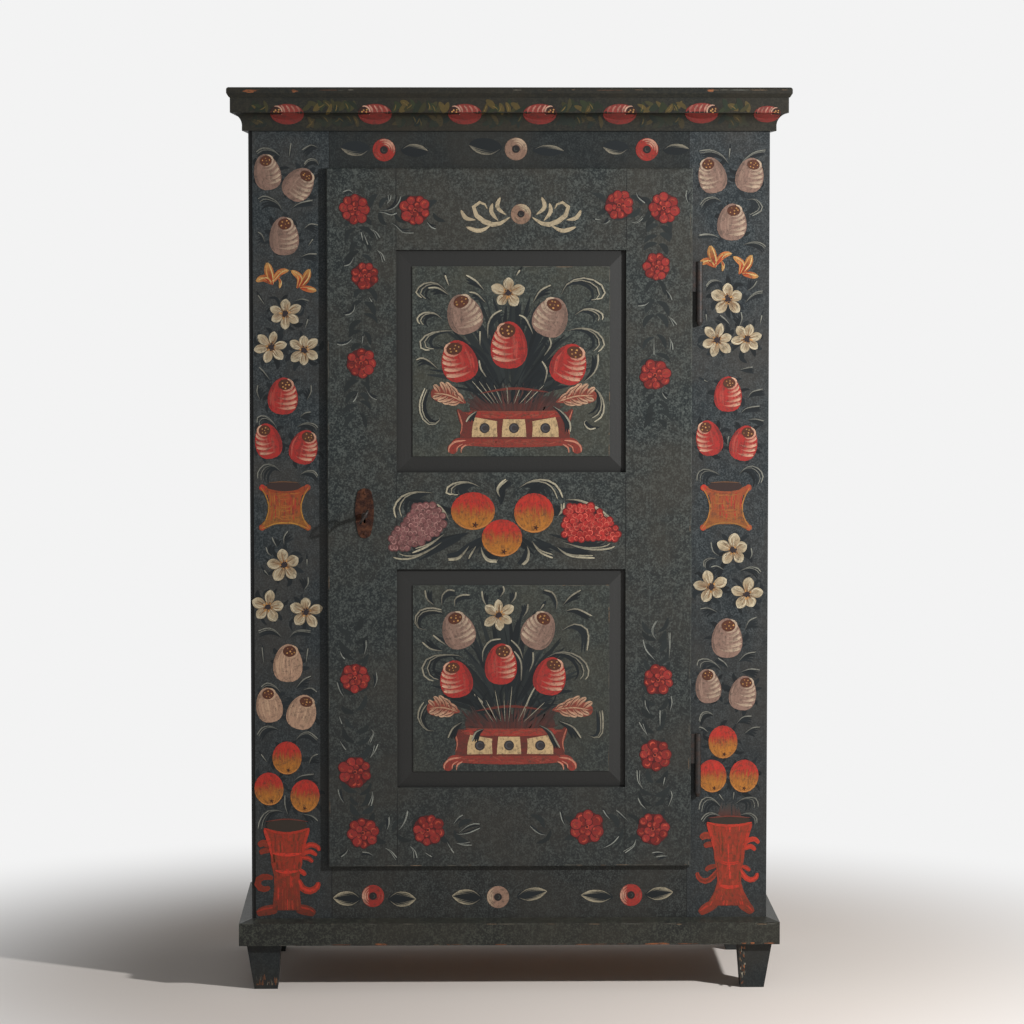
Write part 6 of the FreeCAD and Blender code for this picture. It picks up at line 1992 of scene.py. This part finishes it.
for name, node in (("wear_panel_upper", "door_panel_upper"), ("wear_panel_lower", "door_panel_lower")):
    field = [v.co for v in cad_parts[node].data.vertices if v.co.y < FIELD_FACE + 0.1 * MM]
    left, right = min(v.x for v in field), max(v.x for v in field) - FIELD_CLEAR
    foot, head = min(v.z for v in field), max(v.z for v in field) - FIELD_CLEAR
    panel_highlight = Board(name, "door", FIELD_FACE)
    # Pale dashes along the field's right and top edges: a painted highlight where the light strikes the
    # arris.
    pale_streaks(panel_highlight, (right, foot), (right, head), RUBBED_AND_HIGHLIGHT, 0.7, 0.5)
    pale_streaks(panel_highlight, ((left + right) / 2, head), (right, head), RUBBED_AND_HIGHLIGHT, 0.6, 0.5)
    panel_highlight.paint()

# %% [markdown]
# ## Floor and light
# One small lamp stands at the right, so the door's lip and the key throw clear shadows to the left.
# The world fills in the rest. The floor is pale and plain, and it fades into the pale background
# behind the cupboard, which only the camera and reflections see.

# %% The floor
FLOOR_HALF = 30.0
FADE_START = 0.7
FADE_END = 1.9
PALE = tint(243, 243, 243)
FLOOR_TINT = tint(232, 223, 215)

floor_mesh = bpy.data.meshes.new("floor")
corners = [(x * FLOOR_HALF, y * FLOOR_HALF, 0) for x, y in ((-1, -1), (1, -1), (1, 1), (-1, 1))]
floor_mesh.from_pydata(corners, [], [(0, 1, 2, 3)])
floor = linked("floor", floor_mesh)
floor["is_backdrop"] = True


def seen(tree):
    """1 where the camera or a reflection looks straight at a surface."""
    path = add(tree, "ShaderNodeLightPath").outputs
    both = sums(tree, "MAXIMUM", path["Is Camera Ray"], path["Is Glossy Ray"])
    return sums(tree, "MAXIMUM", both, path["Is Transmission Ray"])


floor_paint, tree, shader, place = finish("floor_pale", 0.85)
shader.inputs["Base Color"].default_value = FLOOR_TINT
far = add(tree, "ShaderNodeVectorMath", {0: place}, operation="LENGTH").outputs["Value"]
fade = times(tree, between(tree, far, FADE_START, FADE_END), seen(tree))
glow = add(tree, "ShaderNodeEmission", {"Color": PALE, "Strength": 1.0})
mix = add(tree, "ShaderNodeMixShader", {0: fade, 1: shader.outputs[0], 2: glow.outputs[0]})
tree.links.new(mix.outputs[0], tree.nodes["Material Output"].inputs["Surface"])
floor_mesh.materials.append(floor_paint)
print("floor fades from", FADE_START, "to", FADE_END, "m")

# %% The world
WORLD_STRENGTH = 0.2

world = bpy.data.worlds.new("studio")
bpy.context.scene.world = world
world.use_nodes = True
tree = world.node_tree
sky = tree.nodes["Background"]
sky.inputs["Color"].default_value = PALE
strength = add(tree, "ShaderNodeMapRange", {"Value": seen(tree), "To Min": WORLD_STRENGTH, "To Max": 1.0})
tree.links.new(strength.outputs["Result"], sky.inputs["Strength"])
print("world strength", WORLD_STRENGTH)

# %% The lamp
LAMP_PLACE = Vector((2.6, FRONT - 2.0, 2.0))
LAMP_AIM = Vector((0, FRONT, 0.95))
LAMP_SIZE = 0.15
LAMP_WATTS = 146.0

lamp_data = bpy.data.lights.new("lamp", "AREA")
lamp_data.size = LAMP_SIZE
lamp_data.energy = LAMP_WATTS
lamp = linked("lamp", lamp_data)
lamp.location = LAMP_PLACE
lamp.rotation_euler = (LAMP_AIM - LAMP_PLACE).to_track_quat("-Z", "Y").to_euler()
print("lamp at", [round(v, 2) for v in LAMP_PLACE])

# %% Measure the bounds
low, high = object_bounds()
